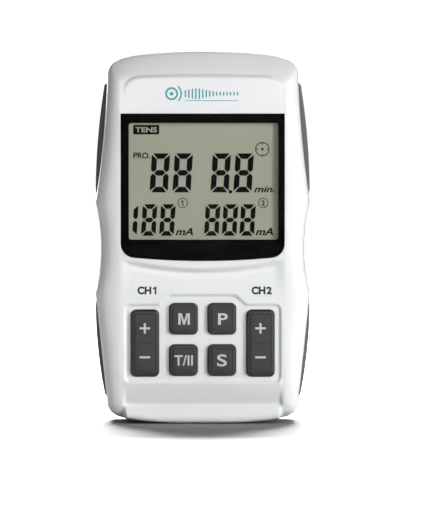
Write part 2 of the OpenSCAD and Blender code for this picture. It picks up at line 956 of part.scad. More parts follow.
module output_socket(side) {
  color("#2b2b2e")
    translate([side * socket_pitch / 2, 0, 0])
      difference() {
        union() {
          block([-socket_body_w / 2, pcb_back_y, socket_body_z],
                [socket_body_w / 2, -pcb_back_y, case_h - 4.6]);
          bar_z(socket_nose_r, case_h - 5, socket_nose_z, 0, 0);
        }
        bar_z(socket_r, socket_nose_z - socket_l, socket_nose_z + 1, 0, 0);
        bar_z(socket_r + sleeve_t, sleeve_low_z, socket_nose_z - socket_l, 0, 0);
      }
}

module output_socket_1() {
  output_socket(-1);
}

module output_socket_2() {
  output_socket(1);
}

module socket_sleeves() {
  color("gold")
    for (side = [-1, 1])
      bar_z(socket_r + sleeve_t, sleeve_low_z, sleeve_low_z + sleeve_l, side * socket_pitch / 2, 0);
}

module battery_cell(i) {
  up = i % 2 == 0;
  x = (i - 1.5) * cell_pitch;
  color("#3f7d57") {
    bar_z(cell_d / 2, cell_low_z, cell_high_z, x, cell_y);
    if (up)
      bar_z(nub_r, cell_high_z - 0.1, cell_high_z + nub_l, x, cell_y);
    else
      bar_z(nub_r, cell_low_z - nub_l, cell_low_z + 0.1, x, cell_y);
  }
}

module battery_cell_1() {
  battery_cell(0);
}

module battery_cell_2() {
  battery_cell(1);
}

module battery_cell_3() {
  battery_cell(2);
}

module battery_cell_4() {
  battery_cell(3);
}

// a conical spring at the flat end of each cell, on a plate against the bay's wall
module cell_springs() {
  plate_t = 0.4;
  color("silver")
    for (i = [0:3]) {
      up = i % 2 == 0;
      x = (i - 1.5) * cell_pitch;
      z0 = up ? bay_low_z : bay_high_z;
      z1 = up ? cell_low_z : cell_high_z;
      s = up ? 1 : -1;
      turns = 3;
      steps = 12;
      n = turns * steps;
      block([x - 4, cell_y - 4, min(z0, z0 + s * plate_t)], [x + 4, cell_y + 4, max(z0, z0 + s * plate_t)]);
      wire([for (k = [0:n])
        let (t = k / n, a = 360 * turns * t, r = 3.6 - 1.6 * t)
          [x + r * cos(a), cell_y + r * sin(a),
           z0 + s * (plate_t + 0.2) + t * (z1 - z0 - s * (plate_t + 0.6))]],
        0.3, 6, [0, 0, 1]);
    }
}

// flat plates at the raised end of each cell
module cell_plates() {
  color("silver")
    for (i = [0:3]) {
      up = i % 2 == 0;
      x = (i - 1.5) * cell_pitch;
      z0 = up ? cell_high_z + nub_l : bay_low_z;
      z1 = up ? bay_high_z : cell_low_z - nub_l;
      block([x - 4, cell_y - 4, z0], [x + 4, cell_y + 4, z0 + 0.4]);
      block([x - 0.6, cell_y - 4, z0], [x + 0.6, cell_y - 3.6, z1]);
      block([x - 4, cell_y - 4, z1 - 0.4], [x + 4, cell_y - 2, z1]);
    }
}

module battery_wire_red() {
  color("red")
    wire(red_route, wire_r, 8, [1, 0, 0]);
}

module battery_wire_black() {
  color("#1c1c1e")
    wire(black_route, wire_r, 8, [1, 0, 0]);
}

module screw(x, y_head, l, z, head_r, r) {
  difference() {
    bar_y(head_r, y_head - screw_head_t, y_head, x, z);
    bar_y(head_r * 0.45, y_head - screw_head_t / 2, y_head + 1, x, z);
  }
  bar_y(r, y_head - l, y_head - screw_head_t + 0.1, x, z);
}

module housing_screws() {
  color("silver")
    for (sx = [-1, 1], p = [boss_upper, boss_lower])
      screw(sx * p[0], back_y - 1, screw_l, p[1], screw_head_r, screw_r);
}

module board_screws() {
  color("silver")
    for (sx = [-1, 1], p = [board_screw_low, board_screw_high])
      screw(sx * p[0], pcb_back_y + screw_head_t, board_screw_l, p[1], board_head_r, board_screw_r);
}

front_shell();
rear_shell();
left_side_grip();
right_side_grip();
battery_door();
belt_clip();
clip_pin();
clip_spring();
display_lens();
lens_border();
lcd_front_glass();
lcd_segments();
lcd_rear_glass();
lcd_reflector();
lcd_holder();
zebra_strip_upper();
zebra_strip_lower();
keypad_mat();
mode_key();
program_key();
timer_key();
set_key();
ch1_key();
ch2_key();
mode_pill();
program_pill();
timer_pill();
set_pill();
ch1_pills();
ch2_pills();
main_pcb();
key_contacts();
microcontroller();
driver_chip();
crystal();
boost_coil();
capacitors();
chip_parts();
transformer_core_1();
transformer_core_2();
transformer_winding_1();
transformer_winding_2();
buzzer();
output_socket_1();
output_socket_2();
socket_sleeves();
battery_cell_1();
battery_cell_2();
battery_cell_3();
battery_cell_4();
cell_springs();
cell_plates();
battery_wire_red();
battery_wire_black();
housing_screws();
board_screws();
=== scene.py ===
import json
import math
import bmesh
import bpy
import numpy as np
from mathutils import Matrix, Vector

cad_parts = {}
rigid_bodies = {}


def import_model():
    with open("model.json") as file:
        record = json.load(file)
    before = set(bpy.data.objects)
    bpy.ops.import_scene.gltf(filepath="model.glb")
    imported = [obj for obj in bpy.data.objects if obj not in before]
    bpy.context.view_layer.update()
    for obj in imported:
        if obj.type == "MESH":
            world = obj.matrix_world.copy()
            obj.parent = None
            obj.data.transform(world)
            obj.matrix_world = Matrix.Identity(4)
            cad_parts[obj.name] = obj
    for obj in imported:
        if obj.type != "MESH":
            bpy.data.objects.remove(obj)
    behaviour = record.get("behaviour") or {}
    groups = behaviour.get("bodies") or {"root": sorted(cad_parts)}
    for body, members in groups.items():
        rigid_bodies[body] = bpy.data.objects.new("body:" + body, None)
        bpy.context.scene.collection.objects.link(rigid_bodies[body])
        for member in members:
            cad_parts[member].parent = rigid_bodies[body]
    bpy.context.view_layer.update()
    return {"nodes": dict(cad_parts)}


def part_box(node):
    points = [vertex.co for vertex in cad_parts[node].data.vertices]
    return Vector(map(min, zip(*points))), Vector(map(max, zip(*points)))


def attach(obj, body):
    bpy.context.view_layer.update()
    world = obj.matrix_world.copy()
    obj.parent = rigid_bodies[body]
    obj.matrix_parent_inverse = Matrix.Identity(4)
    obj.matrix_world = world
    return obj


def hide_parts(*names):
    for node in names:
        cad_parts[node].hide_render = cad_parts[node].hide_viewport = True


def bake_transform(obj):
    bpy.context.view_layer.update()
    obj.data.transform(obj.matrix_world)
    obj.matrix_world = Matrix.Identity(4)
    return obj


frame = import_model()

mm = 0.001


def boxMm(node):
    low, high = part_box(node)
    return Vector(low) / mm, Vector(high) / mm


# sizes that the frame gives, in millimetres
shellLow, shellHigh = boxMm("front_shell")
doorLow, doorHigh = boxMm("battery_door")
lensLow, lensHigh = boxMm("display_lens")
viewLow, viewHigh = boxMm("lcd_reflector")
frontY = shellLow.y + 0.015     # the skin lies a hair inside, so that print stays within the box
backY = doorHigh.y
caseHigh = shellHigh.z
halfWide = boxMm("rear_shell")[1].x


# ---- small helpers

def toLinear(hexColor):
    out = []
    for i in (1, 3, 5):
        c = int(hexColor[i:i + 2], 16) / 255
        out.append(c / 12.92 if c <= 0.04045 else ((c + 0.055) / 1.055) ** 2.4)
    return (*out, 1.0)


def smoothStep(a, b, t):
    t = np.clip((t - a) / (b - a), 0, 1)
    return t * t * (3 - 2 * t)


def softCurve(points, t):
    # a smooth line through the points that never overshoots them
    xs = np.array([p[0] for p in points], float)
    ys = np.array([p[1] for p in points], float)
    h = np.diff(xs)
    d = np.diff(ys) / h
    m = np.zeros(len(xs))
    same = d[:-1] * d[1:] > 0
    m[1:-1][same] = 2 * d[:-1][same] * d[1:][same] / (d[:-1][same] + d[1:][same])
    m[0], m[-1] = d[0], d[-1]
    t = np.clip(t, xs[0], xs[-1])
    i = np.clip(np.searchsorted(xs, t) - 1, 0, len(h) - 1)
    u = (t - xs[i]) / h[i]
    return ((2 * u**3 - 3 * u**2 + 1) * ys[i] + (u**3 - 2 * u**2 + u) * h[i] * m[i]
            + (3 * u**2 - 2 * u**3) * ys[i + 1] + (u**3 - u**2) * h[i] * m[i + 1])


def bow(p, q, sag, steps):
    # a line from p to q that bulges by sag to the right of the way it runs
    p, q = np.array(p, float), np.array(q, float)
    d = q - p
    side = np.array([d[1], -d[0]]) / np.linalg.norm(d)
    t = np.linspace(0, 1, steps + 1)[:, None]
    return p + d * t + side * sag * 4 * t * (1 - t)


def eased(values, rounds):
    # rounds off the corners of a sampled line and keeps its ends
    values = np.array(values, float)
    for _ in range(rounds):
        values[1:-1] = (values[:-2] + 2 * values[1:-1] + values[2:]) / 4
    return values


def spaced(low, high, step, dense=()):
    # lines from low to high, closer together inside each (from, to, step) stretch of dense
    lines = [low]
    while lines[-1] < high - 1e-6:
        at = lines[-1]
        gap = min([step] + [d[2] for d in dense if d[0] - 1e-6 <= at < d[1] - 1e-6])
        for d in dense:
            if at < d[0] - 1e-6 < at + gap:
                gap = d[0] - at
        lines.append(min(at + gap, high))
    return np.array(lines)


def polygonDistance(x, z, corners, radius):
    # signed distance to a polygon with rounded corners, negative inside
    pts = np.array(corners, float)
    far = np.full(x.shape, 1e9)
    inside = np.zeros(x.shape, bool)
    for a, b in zip(pts, np.roll(pts, -1, axis=0)):
        e, wx, wz = b - a, x - a[0], z - a[1]
        t = np.clip((wx * e[0] + wz * e[1]) / (e @ e), 0, 1)
        far = np.minimum(far, np.hypot(wx - e[0] * t, wz - e[1] * t))
        cross = (a[1] > z) != (b[1] > z)
        with np.errstate(divide="ignore", invalid="ignore"):
            inside ^= cross & (x < (b[0] - a[0]) * (z - a[1]) / (b[1] - a[1]) + a[0])
    return np.where(inside, -far, far) - radius


def newObject(name, data):
    obj = bpy.data.objects.new(name, data)
    bpy.context.scene.collection.objects.link(obj)
    return obj


def meshPiece(name, verts, faces, body=None, slot=None, sharp=35):
    # verts in millimetres; smooth shaded, with edges sharper than the angle kept crisp
    mesh = bpy.data.meshes.new(name)
    mesh.from_pydata([tuple(float(c) * mm for c in v) for v in verts], [],
                     [tuple(int(i) for i in f) for f in faces])
    mesh.validate()
    obj = newObject(name, mesh)
    if body:
        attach(obj, body)
    crisp(obj, sharp)
    return obj


def crisp(obj, angle):
    obj.data.shade_smooth()
    obj.data.set_sharp_from_angle(angle=math.radians(angle))


def fixNormals(obj):
    bm = bmesh.new()
    bm.from_mesh(obj.data)
    bmesh.ops.remove_doubles(bm, verts=bm.verts, dist=2e-7)
    bmesh.ops.dissolve_degenerate(bm, edges=bm.edges, dist=1e-7)
    bmesh.ops.recalc_face_normals(bm, faces=bm.faces)
    bm.to_mesh(obj.data)
    bm.free()


def closedMesh(*given):
    # a mesh piece with all its faces turned outwards
    obj = meshPiece(*given)
    fixNormals(obj)
    return obj


def bakedMesh(obj):
    # the plain mesh that a curve, or a mesh with modifiers, shows
    bpy.context.view_layer.update()
    return bpy.data.meshes.new_from_object(obj.evaluated_get(bpy.context.evaluated_depsgraph_get()))


def applyModifiers(obj):
    made = bakedMesh(obj)
    old = obj.data
    obj.modifiers.clear()
    obj.data = made
    made.name = obj.name
    bpy.data.meshes.remove(old)


def cut(obj, tools, operation="DIFFERENCE"):
    # takes each tool out of obj, or joins it, then throws the tool away
    for tool in tools:
        mod = obj.modifiers.new("cut", "BOOLEAN")
        mod.operation = operation
        mod.solver = "EXACT"
        mod.object = tool
    applyModifiers(obj)
    for tool in tools:
        bpy.data.objects.remove(tool)


def bevelled(obj, width):
    # rounds off every sharp edge
    mod = obj.modifiers.new("edges", "BEVEL")
    mod.width = width * mm
    mod.segments = 2
    mod.limit_method = "ANGLE"
    applyModifiers(obj)
    return obj


def extruded(name, start, end):
    # two matching rings of points, joined and closed at both ends
    n = len(start)
    faces = [list(range(n)), list(range(2 * n - 1, n - 1, -1))]
    faces += [[(i + 1) % n, i, i + n, (i + 1) % n + n] for i in range(n)]
    return closedMesh(name, [*start, *end], faces)


def closedPrism(name, outline, y0, y1):
    # an outline in X and Z, anticlockwise from the front, filled from y0 to y1
    return extruded(name, [(x, y0, z) for x, z in outline], [(x, y1, z) for x, z in outline])


def prismX(name, outline, x0, x1, bevel):
    # an outline in Y and Z filled from x0 to x1
    return bevelled(extruded(name, [(x0, *p) for p in outline], [(x1, *p) for p in outline]), bevel)


def roundRect(cx, cz, w, h, r, steps=8):
    pts = []
    for k, (sx, sz) in enumerate(((1, 1), (-1, 1), (-1, -1), (1, -1))):
        for i in range(steps + 1):
            a = math.radians(90 * k + 90 * i / steps)
            pts.append((cx + sx * (w / 2 - r) + r * math.cos(a), cz + sz * (h / 2 - r) + r * math.sin(a)))
    return pts


def roundBar(name, axis, r, start, end, sides=40):
    # a round tool or rod from start to end along X, Y or Z, in millimetres
    start, end = Vector(start), Vector(end)
    u = Vector((0, 0, 1)) if axis != "z" else Vector((1, 0, 0))
    v = (end - start).normalized().cross(u)
    ring = [math.cos(2 * math.pi * i / sides) * u * r + math.sin(2 * math.pi * i / sides) * v * r
            for i in range(sides)]
    return extruded(name, [start + p for p in ring], [end + p for p in ring])


def block(name, low, high):
    # a plain block between two corners
    x0, y0, z0 = low
    x1, y1, z1 = high
    verts = [(x, y, z) for z in (z0, z1) for y in (y0, y1) for x in (x0, x1)]
    faces = [(0, 2, 3, 1), (4, 5, 7, 6), (0, 1, 5, 4), (2, 6, 7, 3), (0, 4, 6, 2), (1, 3, 7, 5)]
    return closedMesh(name, verts, faces)


def ringLoft(rings):
    # rings of equal length, each a list of points; returns verts and faces, closed at both ends
    n = len(rings[0])
    verts = [p for ring in rings for p in ring]
    faces = []
    for k in range(len(rings) - 1):
        for i in range(n):
            j = (i + 1) % n
            faces.append((k * n + i, k * n + j, (k + 1) * n + j, (k + 1) * n + i))
    faces.append(tuple(range(n - 1, -1, -1)))
    faces.append(tuple(range((len(rings) - 1) * n, len(rings) * n)))
    return verts, faces


def addNode(tree, kind, settings=None, inputs=None):
    # settings are the node's own choices; inputs are numbers or other nodes' outputs
    made = tree.nodes.new(kind)
    for key, value in (settings or {}).items():
        setattr(made, key, value)
    for key, value in (inputs or {}).items():
        if isinstance(value, bpy.types.NodeSocket):
            tree.links.new(value, made.inputs[key])
        else:
            made.inputs[key].default_value = value
    return made


def newMaterial(name):
    mat = bpy.data.materials.new(name)
    mat.use_nodes = True
    tree = mat.node_tree
    tree.nodes.clear()
    out = addNode(tree, "ShaderNodeOutputMaterial")
    shader = addNode(tree, "ShaderNodeBsdfPrincipled")
    tree.links.new(shader.outputs[0], out.inputs[0])
    where = addNode(tree, "ShaderNodeTexCoord").outputs["Object"]
    return mat, tree, shader, where


def noise(tree, where, sizeMm, detail):
    # cloudy noise with features of about the given size
    given = {"Vector": where, "Scale": 1 / (sizeMm * mm), "Detail": detail}
    return addNode(tree, "ShaderNodeTexNoise", {}, given).outputs["Fac"]


def twoTone(tree, factor, first, second):
    # a colour that runs from first to second as the factor rises
    return addNode(tree, "ShaderNodeMix", {"data_type": "RGBA"},
                   {0: factor, 6: toLinear(first), 7: toLinear(second)}).outputs[2]


def unevenGloss(tree, shader, factor, low, high):
    # the roughness wanders between low and high over the middle of the noise's range
    gloss = addNode(tree, "ShaderNodeMapRange", {}, {0: factor, 1: 0.3, 2: 0.7, 3: low, 4: high})
    tree.links.new(gloss.outputs[0], shader.inputs["Roughness"])


def addBump(tree, shader, height, strength, distance):
    bump = addNode(tree, "ShaderNodeBump", {}, {"Height": height, "Strength": strength, "Distance": distance})
    tree.links.new(bump.outputs[0], shader.inputs["Normal"])


def plastic(name, spec):
    # a moulded or painted surface: faint mottling, uneven gloss and a fine grain
    mat, tree, shader, where = newMaterial(name)
    mottle = noise(tree, where, spec["mottleMm"], 3.0)
    tree.links.new(twoTone(tree, mottle, spec["color"], spec["shade"]), shader.inputs["Base Color"])
    unevenGloss(tree, shader, mottle, *spec["roughness"])
    addBump(tree, shader, noise(tree, where, spec["grainMm"], 2.0), spec["grain"], spec["grainMm"] * mm * 0.2)
    for label, key, usual in (("IOR", "ior", 1.5), ("Specular IOR Level", "specular", 0.5),
                              ("Sheen Weight", "sheen", 0.0)):
        shader.inputs[label].default_value = spec.get(key, usual)
    return mat


surfaces = {
    # ABS from a polished tool: a clean white with a soft gloss and a trace of orange peel
    "mouldedAbs": {"color": "#eef0f1", "shade": "#e9ebec", "mottleMm": 22, "roughness": (0.2, 0.27),
                   "grainMm": 2.6, "grain": 0.05, "ior": 1.54},
    # TPE overmould from an eroded tool: dark, dry, with a fine even grain
    "overmouldTpe": {"color": "#5a5b5d", "shade": "#525355", "mottleMm": 9, "roughness": (0.5, 0.62),
                     "grainMm": 0.35, "grain": 0.45, "sheen": 0.08},
    # key caps in soft-touch paint: smooth charcoal, low gloss
    "softPaint": {"color": "#434344", "shade": "#3f3f40", "mottleMm": 6, "roughness": (0.42, 0.5),
                  "grainMm": 0.3, "grain": 0.15, "specular": 0.25},
    # the same paint made darker: painted shade on the sides of a key, at the bottom of the groove round its
    # face, and on the strip across a rocker's middle
    "keyPaintedShade": {"color": "#232425", "shade": "#1f2021", "mottleMm": 6, "roughness": (0.45, 0.55),
                   "grainMm": 0.3, "grain": 0.15},
    # screen ink under the lens: a deep even black
    "lensInk": {"color": "#020202", "shade": "#040404", "mottleMm": 12, "roughness": (0.25, 0.3),
                "grainMm": 0.5, "grain": 0.02, "specular": 0.02},
    # the film on the liquid crystal glass: greenish grey, slightly cloudy
    "polariser": {"color": "#b1b3a0", "shade": "#a9ab99", "mottleMm": 30, "roughness": (0.4, 0.5),
                  "grainMm": 0.4, "grain": 0.03, "specular": 0.1},
    # segments that are switched on: near black with a hint of green
    "segmentBlack": {"color": "#0b0c0a", "shade": "#0e100d", "mottleMm": 10, "roughness": (0.4, 0.5),
                     "grainMm": 0.4, "grain": 0.02, "specular": 0.02},
    # pad-printed legends on the keys: light grey ink with soft edges
    "legendInk": {"color": "#cfd0d0", "shade": "#c7c8c8", "mottleMm": 2, "roughness": (0.4, 0.5),
                  "grainMm": 0.2, "grain": 0.1},
    # printed channel names on the casing: charcoal ink
    "casingInk": {"color": "#19191b", "shade": "#1e1e20", "mottleMm": 2, "roughness": (0.35, 0.45),
                  "grainMm": 0.2, "grain": 0.08},
    # printed mark: teal ink
    "markInk": {"color": "#2f9a9e", "shade": "#38a2a4", "mottleMm": 3, "roughness": (0.35, 0.45),
                "grainMm": 0.2, "grain": 0.08},
    # moulded holder behind the display: uncoloured plastic, matt
    "holderPlastic": {"color": "#d9d8d2", "shade": "#cfcec8", "mottleMm": 8, "roughness": (0.45, 0.6),
                      "grainMm": 0.5, "grain": 0.15},
    # silicone keypad mat: grey, slightly greasy sheen
    "siliconeMat": {"color": "#5c5e60", "shade": "#545658", "mottleMm": 7, "roughness": (0.42, 0.52),
                    "grainMm": 0.4, "grain": 0.12, "sheen": 0.1},
    # carbon-loaded silicone: dull black
    "carbonPill": {"color": "#1c1c1d", "shade": "#242425", "mottleMm": 1.5, "roughness": (0.65, 0.8),
                   "grainMm": 0.15, "grain": 0.3},
    # epoxy chip bodies: fine blasted black
    "chipEpoxy": {"color": "#1e1e20", "shade": "#252527", "mottleMm": 3, "roughness": (0.5, 0.65),
                  "grainMm": 0.12, "grain": 0.35},
    # sintered ferrite: dark brown grey with a coarse grain
    "ferrite": {"color": "#37332f", "shade": "#2b2825", "mottleMm": 2, "roughness": (0.55, 0.75),
                "grainMm": 0.2, "grain": 0.5},
    # nylon of the sockets and the buzzer: satin black
    "blackNylon": {"color": "#1f1f22", "shade": "#26262a", "mottleMm": 5, "roughness": (0.32, 0.45),
                   "grainMm": 0.4, "grain": 0.1},
    # PVC wire coats
    "pvcRed": {"color": "#a61b17", "shade": "#98150f", "mottleMm": 4, "roughness": (0.3, 0.4),
               "grainMm": 0.5, "grain": 0.05},
    "pvcBlack": {"color": "#18181a", "shade": "#1e1e21", "mottleMm": 4, "roughness": (0.3, 0.4),
                 "grainMm": 0.5, "grain": 0.05},
    # shrink sleeve of the capacitors: dark blue film
    "shrinkSleeve": {"color": "#20283a", "shade": "#262f44", "mottleMm": 4, "roughness": (0.25, 0.35),
                     "grainMm": 0.6, "grain": 0.06},
}


def metal(name, spec):
    # brushed or drawn metal: fine streaks along one axis and a worn, uneven polish
    mat, tree, shader, where = newMaterial(name)
    stretch = addNode(tree, "ShaderNodeMapping", {}, {"Vector": where, "Scale": spec["stretch"]})
    streak = noise(tree, stretch.outputs[0], spec["streakMm"], 3.0)
    tree.links.new(twoTone(tree, streak, spec["color"], spec["shade"]), shader.inputs["Base Color"])
    unevenGloss(tree, shader, streak, *spec["roughness"])
    addBump(tree, shader, streak, 0.15, spec["streakMm"] * mm * 0.1)
    shader.inputs["Metallic"].default_value = 1.0
    return mat


metals = {
    # drawn spring wire: bright with marks along its length
    "springSteel": {"color": "#b9babd", "shade": "#9d9ea2", "streakMm": 0.3, "stretch": (1, 1, 0.2),
                    "roughness": (0.2, 0.34)},
    # nickel-plated strip of the cell contacts: warm silver
    "nickelPlate": {"color": "#c9c5ba", "shade": "#b3afa4", "streakMm": 0.4, "stretch": (0.15, 1, 1),
                    "roughness": (0.18, 0.32)},
    # zinc-plated screws: pale, slightly cloudy
    "zincScrew": {"color": "#b4b6b8", "shade": "#94979b", "streakMm": 0.35, "stretch": (1, 0.3, 1),
                  "roughness": (0.25, 0.42)},
    # gold flash on the key pads and socket sleeves
    "goldFlash": {"color": "#d9b25a", "shade": "#c79c43", "streakMm": 0.3, "stretch": (1, 1, 1),
                  "roughness": (0.2, 0.32)},
    # enamelled copper wire, wound: a band for each turn
    "copperWinding": {"color": "#b0683a", "shade": "#7d4425", "streakMm": 0.3, "stretch": (0.02, 0.02, 1),
                      "roughness": (0.25, 0.4)},
    # tinplate of the cells' ends
    "cellCan": {"color": "#c4c5c6", "shade": "#aeb0b2", "streakMm": 0.5, "stretch": (1, 1, 0.2),
                "roughness": (0.2, 0.3)},
}


def clearSheet(name, alpha, color, roughness):
    # clear acrylic or glass: seen through, with a faint skin and a breath of haze
    mat, tree, shader, where = newMaterial(name)
    unevenGloss(tree, shader, noise(tree, where, 15, 2.0), roughness, roughness + 0.03)
    shader.inputs["Base Color"].default_value = toLinear(color)
    shader.inputs["IOR"].default_value = 1.49
    shader.inputs["Alpha"].default_value = alpha
    return mat


def layeredRubber(name):
    # conductive strip: carbon and silicone layers across the width, drawn at 0.5 mm so that they show
    mat, tree, shader, where = newMaterial(name)
    bands = addNode(tree, "ShaderNodeTexWave", {"bands_direction": "X"},
                    {"Vector": where, "Scale": 0.31 / (0.5 * mm), "Distortion": 0.4})
    tree.links.new(twoTone(tree, bands.outputs["Fac"], "#1d1d1f", "#8c5d62"), shader.inputs["Base Color"])
    shader.inputs["Roughness"].default_value = 0.6
    return mat


def boardMask(name):
    # FR4 under green solder mask: darker laminate with paler lines where copper runs beneath
    mat, tree, shader, where = newMaterial(name)
    turn = addNode(tree, "ShaderNodeMapping", {}, {"Vector": where, "Rotation": (math.radians(90), 0, 0)})
    tracks = addNode(tree, "ShaderNodeTexBrick", {"offset": 0.37, "squash": 0.6},
                     {"Vector": turn.outputs[0], "Scale": 1 / (6 * mm), "Mortar Size": 0.07,
                      "Mortar Smooth": 0.2, "Color1": toLinear("#0f5a35"), "Color2": toLinear("#125f39"),
                      "Mortar": toLinear("#2f8a57")})
    tree.links.new(tracks.outputs["Color"], shader.inputs["Base Color"])
    addBump(tree, shader, tracks.outputs["Fac"], 0.3, 0.05 * mm)
    shader.inputs["Roughness"].default_value = 0.32
    return mat


def cellSleeve(name):
    # printed sleeve of a cell: gold film with a broad dark green band across it
    mat, tree, shader, where = newMaterial(name)
    split = addNode(tree, "ShaderNodeSeparateXYZ", {}, {0: where})
    band = addNode(tree, "ShaderNodeMath", {"operation": "COMPARE"}, {0: split.outputs[2], 1: 38.4 * mm,
                                                                      2: 9 * mm})
    film = twoTone(tree, noise(tree, where, 6, 2.0), "#24563b", "#2b6044")
    tint = addNode(tree, "ShaderNodeMix", {"data_type": "RGBA"},
                   {0: band.outputs[0], 6: toLinear("#c8a44c"), 7: film})
    tree.links.new(tint.outputs[2], shader.inputs["Base Color"])
    shader.inputs["Roughness"].default_value = 0.28
    shader.inputs["Metallic"].default_value = 0.35
    return mat


mats = {name: plastic(name, spec) for name, spec in surfaces.items()}
mats.update({name: metal(name, spec) for name, spec in metals.items()})
mats["clearAcrylic"] = clearSheet("clearAcrylic", 0.05, "#060606", 0.04)
mats["displayGlass"] = clearSheet("displayGlass", 0.25, "#dfe6e2", 0.04)
mats["zebraRubber"] = layeredRubber("zebraRubber")
mats["solderMask"] = boardMask("solderMask")
mats["cellSleeve"] = cellSleeve("cellSleeve")


def dress(obj, *names):
    obj.data.materials.clear()
    for name in names:
        obj.data.materials.append(mats[name])


def install(obj, body, node, finish, angle):
    # gives a finished shape its body and its surface, and hides the CAD node that it stands for
    crisp(obj, angle)
    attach(obj, body)
    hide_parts(node)
    dress(obj, finish)


print("materials made:", len(mats))


# ---- outlines of the casing, seen from the front

outlineSizes = {
    "creaseX": 26.8,        # the upright creases beside the front panel
    "footHalf": 10.0,       # half of the flat that it stands on
    "lowCorner": 8.0,       # where the lower corners end
    "waistLow": 42.5, "waistHigh": 72.0, "waistDepth": 1.8,
    "highCorner": caseHigh - 8.5,
    "shellLowX": halfWide - 3.65, "shellHighX": halfWide - 3.8,
    "edgeY": -6.0,          # depth of the front half's outer edge
    "gripY": 5.5,           # half width of the side grips
}


def sideLine(lowX, highX, lowSag, highSag):
    # outer edge of the casing's right side: x for each z
    s = outlineSizes
    z0 = footArc(s["creaseX"])
    parts = [bow((s["creaseX"], z0), (lowX, s["lowCorner"]), 1.5, 30),
             bow((lowX, s["lowCorner"]), (halfWide, s["waistLow"]), lowSag, 60),
             bow((halfWide, s["waistLow"]), (halfWide, s["waistHigh"]), -s["waistDepth"], 60),
             bow((halfWide, s["waistHigh"]), (highX, s["highCorner"]), highSag, 60),
             bow((highX, s["highCorner"]), (s["creaseX"], headArc(s["creaseX"])), 1.45, 30)]
    line = np.vstack([p[:-1] for p in parts] + [parts[-1][-1:]])
    z = np.linspace(line[0, 1], line[-1, 1], 900)
    x = eased(np.interp(z, line[:, 1], line[:, 0]), 12)
    return z, x


def smoothEnd(x):
    # 0 over the middle, rising towards the creases, where the corners take over
    return np.clip((x - 21) / 5.8, 0, None) ** 2


def footArc(x):
    # height of the lower edge: flat in the middle, 1.65 mm up at the creases and a little more
    s = outlineSizes
    line = np.vstack([[(0, 0)], bow((s["footHalf"], 0), (s["creaseX"], 1.65), 0.3, 20)])
    xs = np.linspace(0, s["creaseX"], 120)
    lift = 0.3 * smoothEnd(np.abs(x))
    return np.interp(np.abs(x), xs, eased(np.interp(xs, line[:, 0], line[:, 1]), 60)) + lift


def headArc(x):
    # height of the upper edge, which falls by 1.9 mm at the creases and a little more
    return caseHigh - 1.9 * (np.abs(x) / outlineSizes["creaseX"]) ** 2.1 - 0.6 * smoothEnd(np.abs(x))


shellZ, shellX = sideLine(outlineSizes["shellLowX"], outlineSizes["shellHighX"], 0.1, -0.55)


def shellSide(z):
    return np.interp(z, shellZ, shellX)


# ---- front of the casing

frontSizes = {
    "plateau": (25.2, 112.7, 5.0),      # half width, top and corner radius of the raised display face
    "keypadDrop": 1.0,                  # how far the keypad face lies behind the display face
    "stepMid": 49.9, "stepRise": 3.0,   # the arched step between the two
    "hollow": 0.35, "hollowBelow": 1.1, "hollowHalf": 1.5,      # a shallow groove along its foot
    "dish": [(-25.1, 13.7), (25.1, 13.7), (25.1, 38.7), (15, 38.7), (11.7, 41.8), (-11.7, 41.8),
             (-15, 38.7), (-25.1, 38.7)],
    "dishDepth": 0.65, "dishRound": 1.8,
    "wall": 2.2,
    # depth behind the display face, from the lower edge up to the keypad face
    "lowProfile": [(0, 7.5), (0.12, 4.4), (0.4, 3.0), (0.8, 2.35), (1.4, 2.02), (2.2, 1.95), (3.4, 2.06),
                   (4.6, 2.28), (5.2, 2.5), (5.8, 3.0), (6.4, 3.2), (7.2, 2.98), (9.8, 2.0), (12.6, 1.2),
                   (13.6, 1.0), (30, 1.0)],
    # the same at the upright creases, where the roll along the lower edge has run out
    "creaseProfile": [(0, 7.5), (0.35, 6.4), (1.1, 5.1), (2.3, 3.9), (3.8, 3.05), (6, 2.3), (9, 1.8),
                      (13, 1.3), (18, 1.05), (30, 1.0)],
    # depth behind the display face, from the display face up to the upper edge
    "highProfile": [(95, 0), (104, 0.02), (108, 0.15), (110.5, 0.45), (112.5, 1.05), (114.5, 2.2),
                    (116.8, 3.9), (118.8, 5.6), (120, 6.8), (120.5, 7.5)],
}


def faceDepth(x, row, z):
    # depth of the front surface; row is z as if the lower and upper edges were straight
    s = frontSizes
    beside = smoothStep(24.6, 26.2, np.abs(x))
    keypad = softCurve(s["lowProfile"], np.minimum(row, 30))
    keypad += (softCurve(s["creaseProfile"], np.minimum(row, 30)) - keypad) * beside
    display = softCurve(s["highProfile"], np.maximum(row, 95))
    half, top, radius = s["plateau"]
    corners = [(radius - half, 60), (half - radius, 60), (half - radius, top - radius),
               (radius - half, top - radius)]
    raised = smoothStep(0.7, -0.7, polygonDistance(x, row, corners, radius))
    display = display * (1 - raised * smoothStep(100, 104, row))
    above = z - s["stepMid"] - s["stepRise"] * np.minimum((x / 25) ** 2, 1)
    step = smoothStep(-1.0, 1.0, above)
    step += (smoothStep(-14, 8, above) - step) * smoothStep(23.2, 26.6, np.abs(x))
    depth = keypad * (1 - step) + display * step
    hollow = np.clip(1 - np.abs(above + s["hollowBelow"]) / s["hollowHalf"], 0, 1)
    depth = depth + s["hollow"] * smoothStep(0, 1, hollow * smoothStep(24.5, 20.5, np.abs(x)))
    sunk = [(px - math.copysign(s["dishRound"], px), pz + (s["dishRound"] if pz < 20 else -s["dishRound"]))
            for px, pz in s["dish"]]
    depth = depth + s["dishDepth"] * smoothStep(0.6, -0.6, polygonDistance(x, z, sunk, s["dishRound"]))
    return frontY + depth


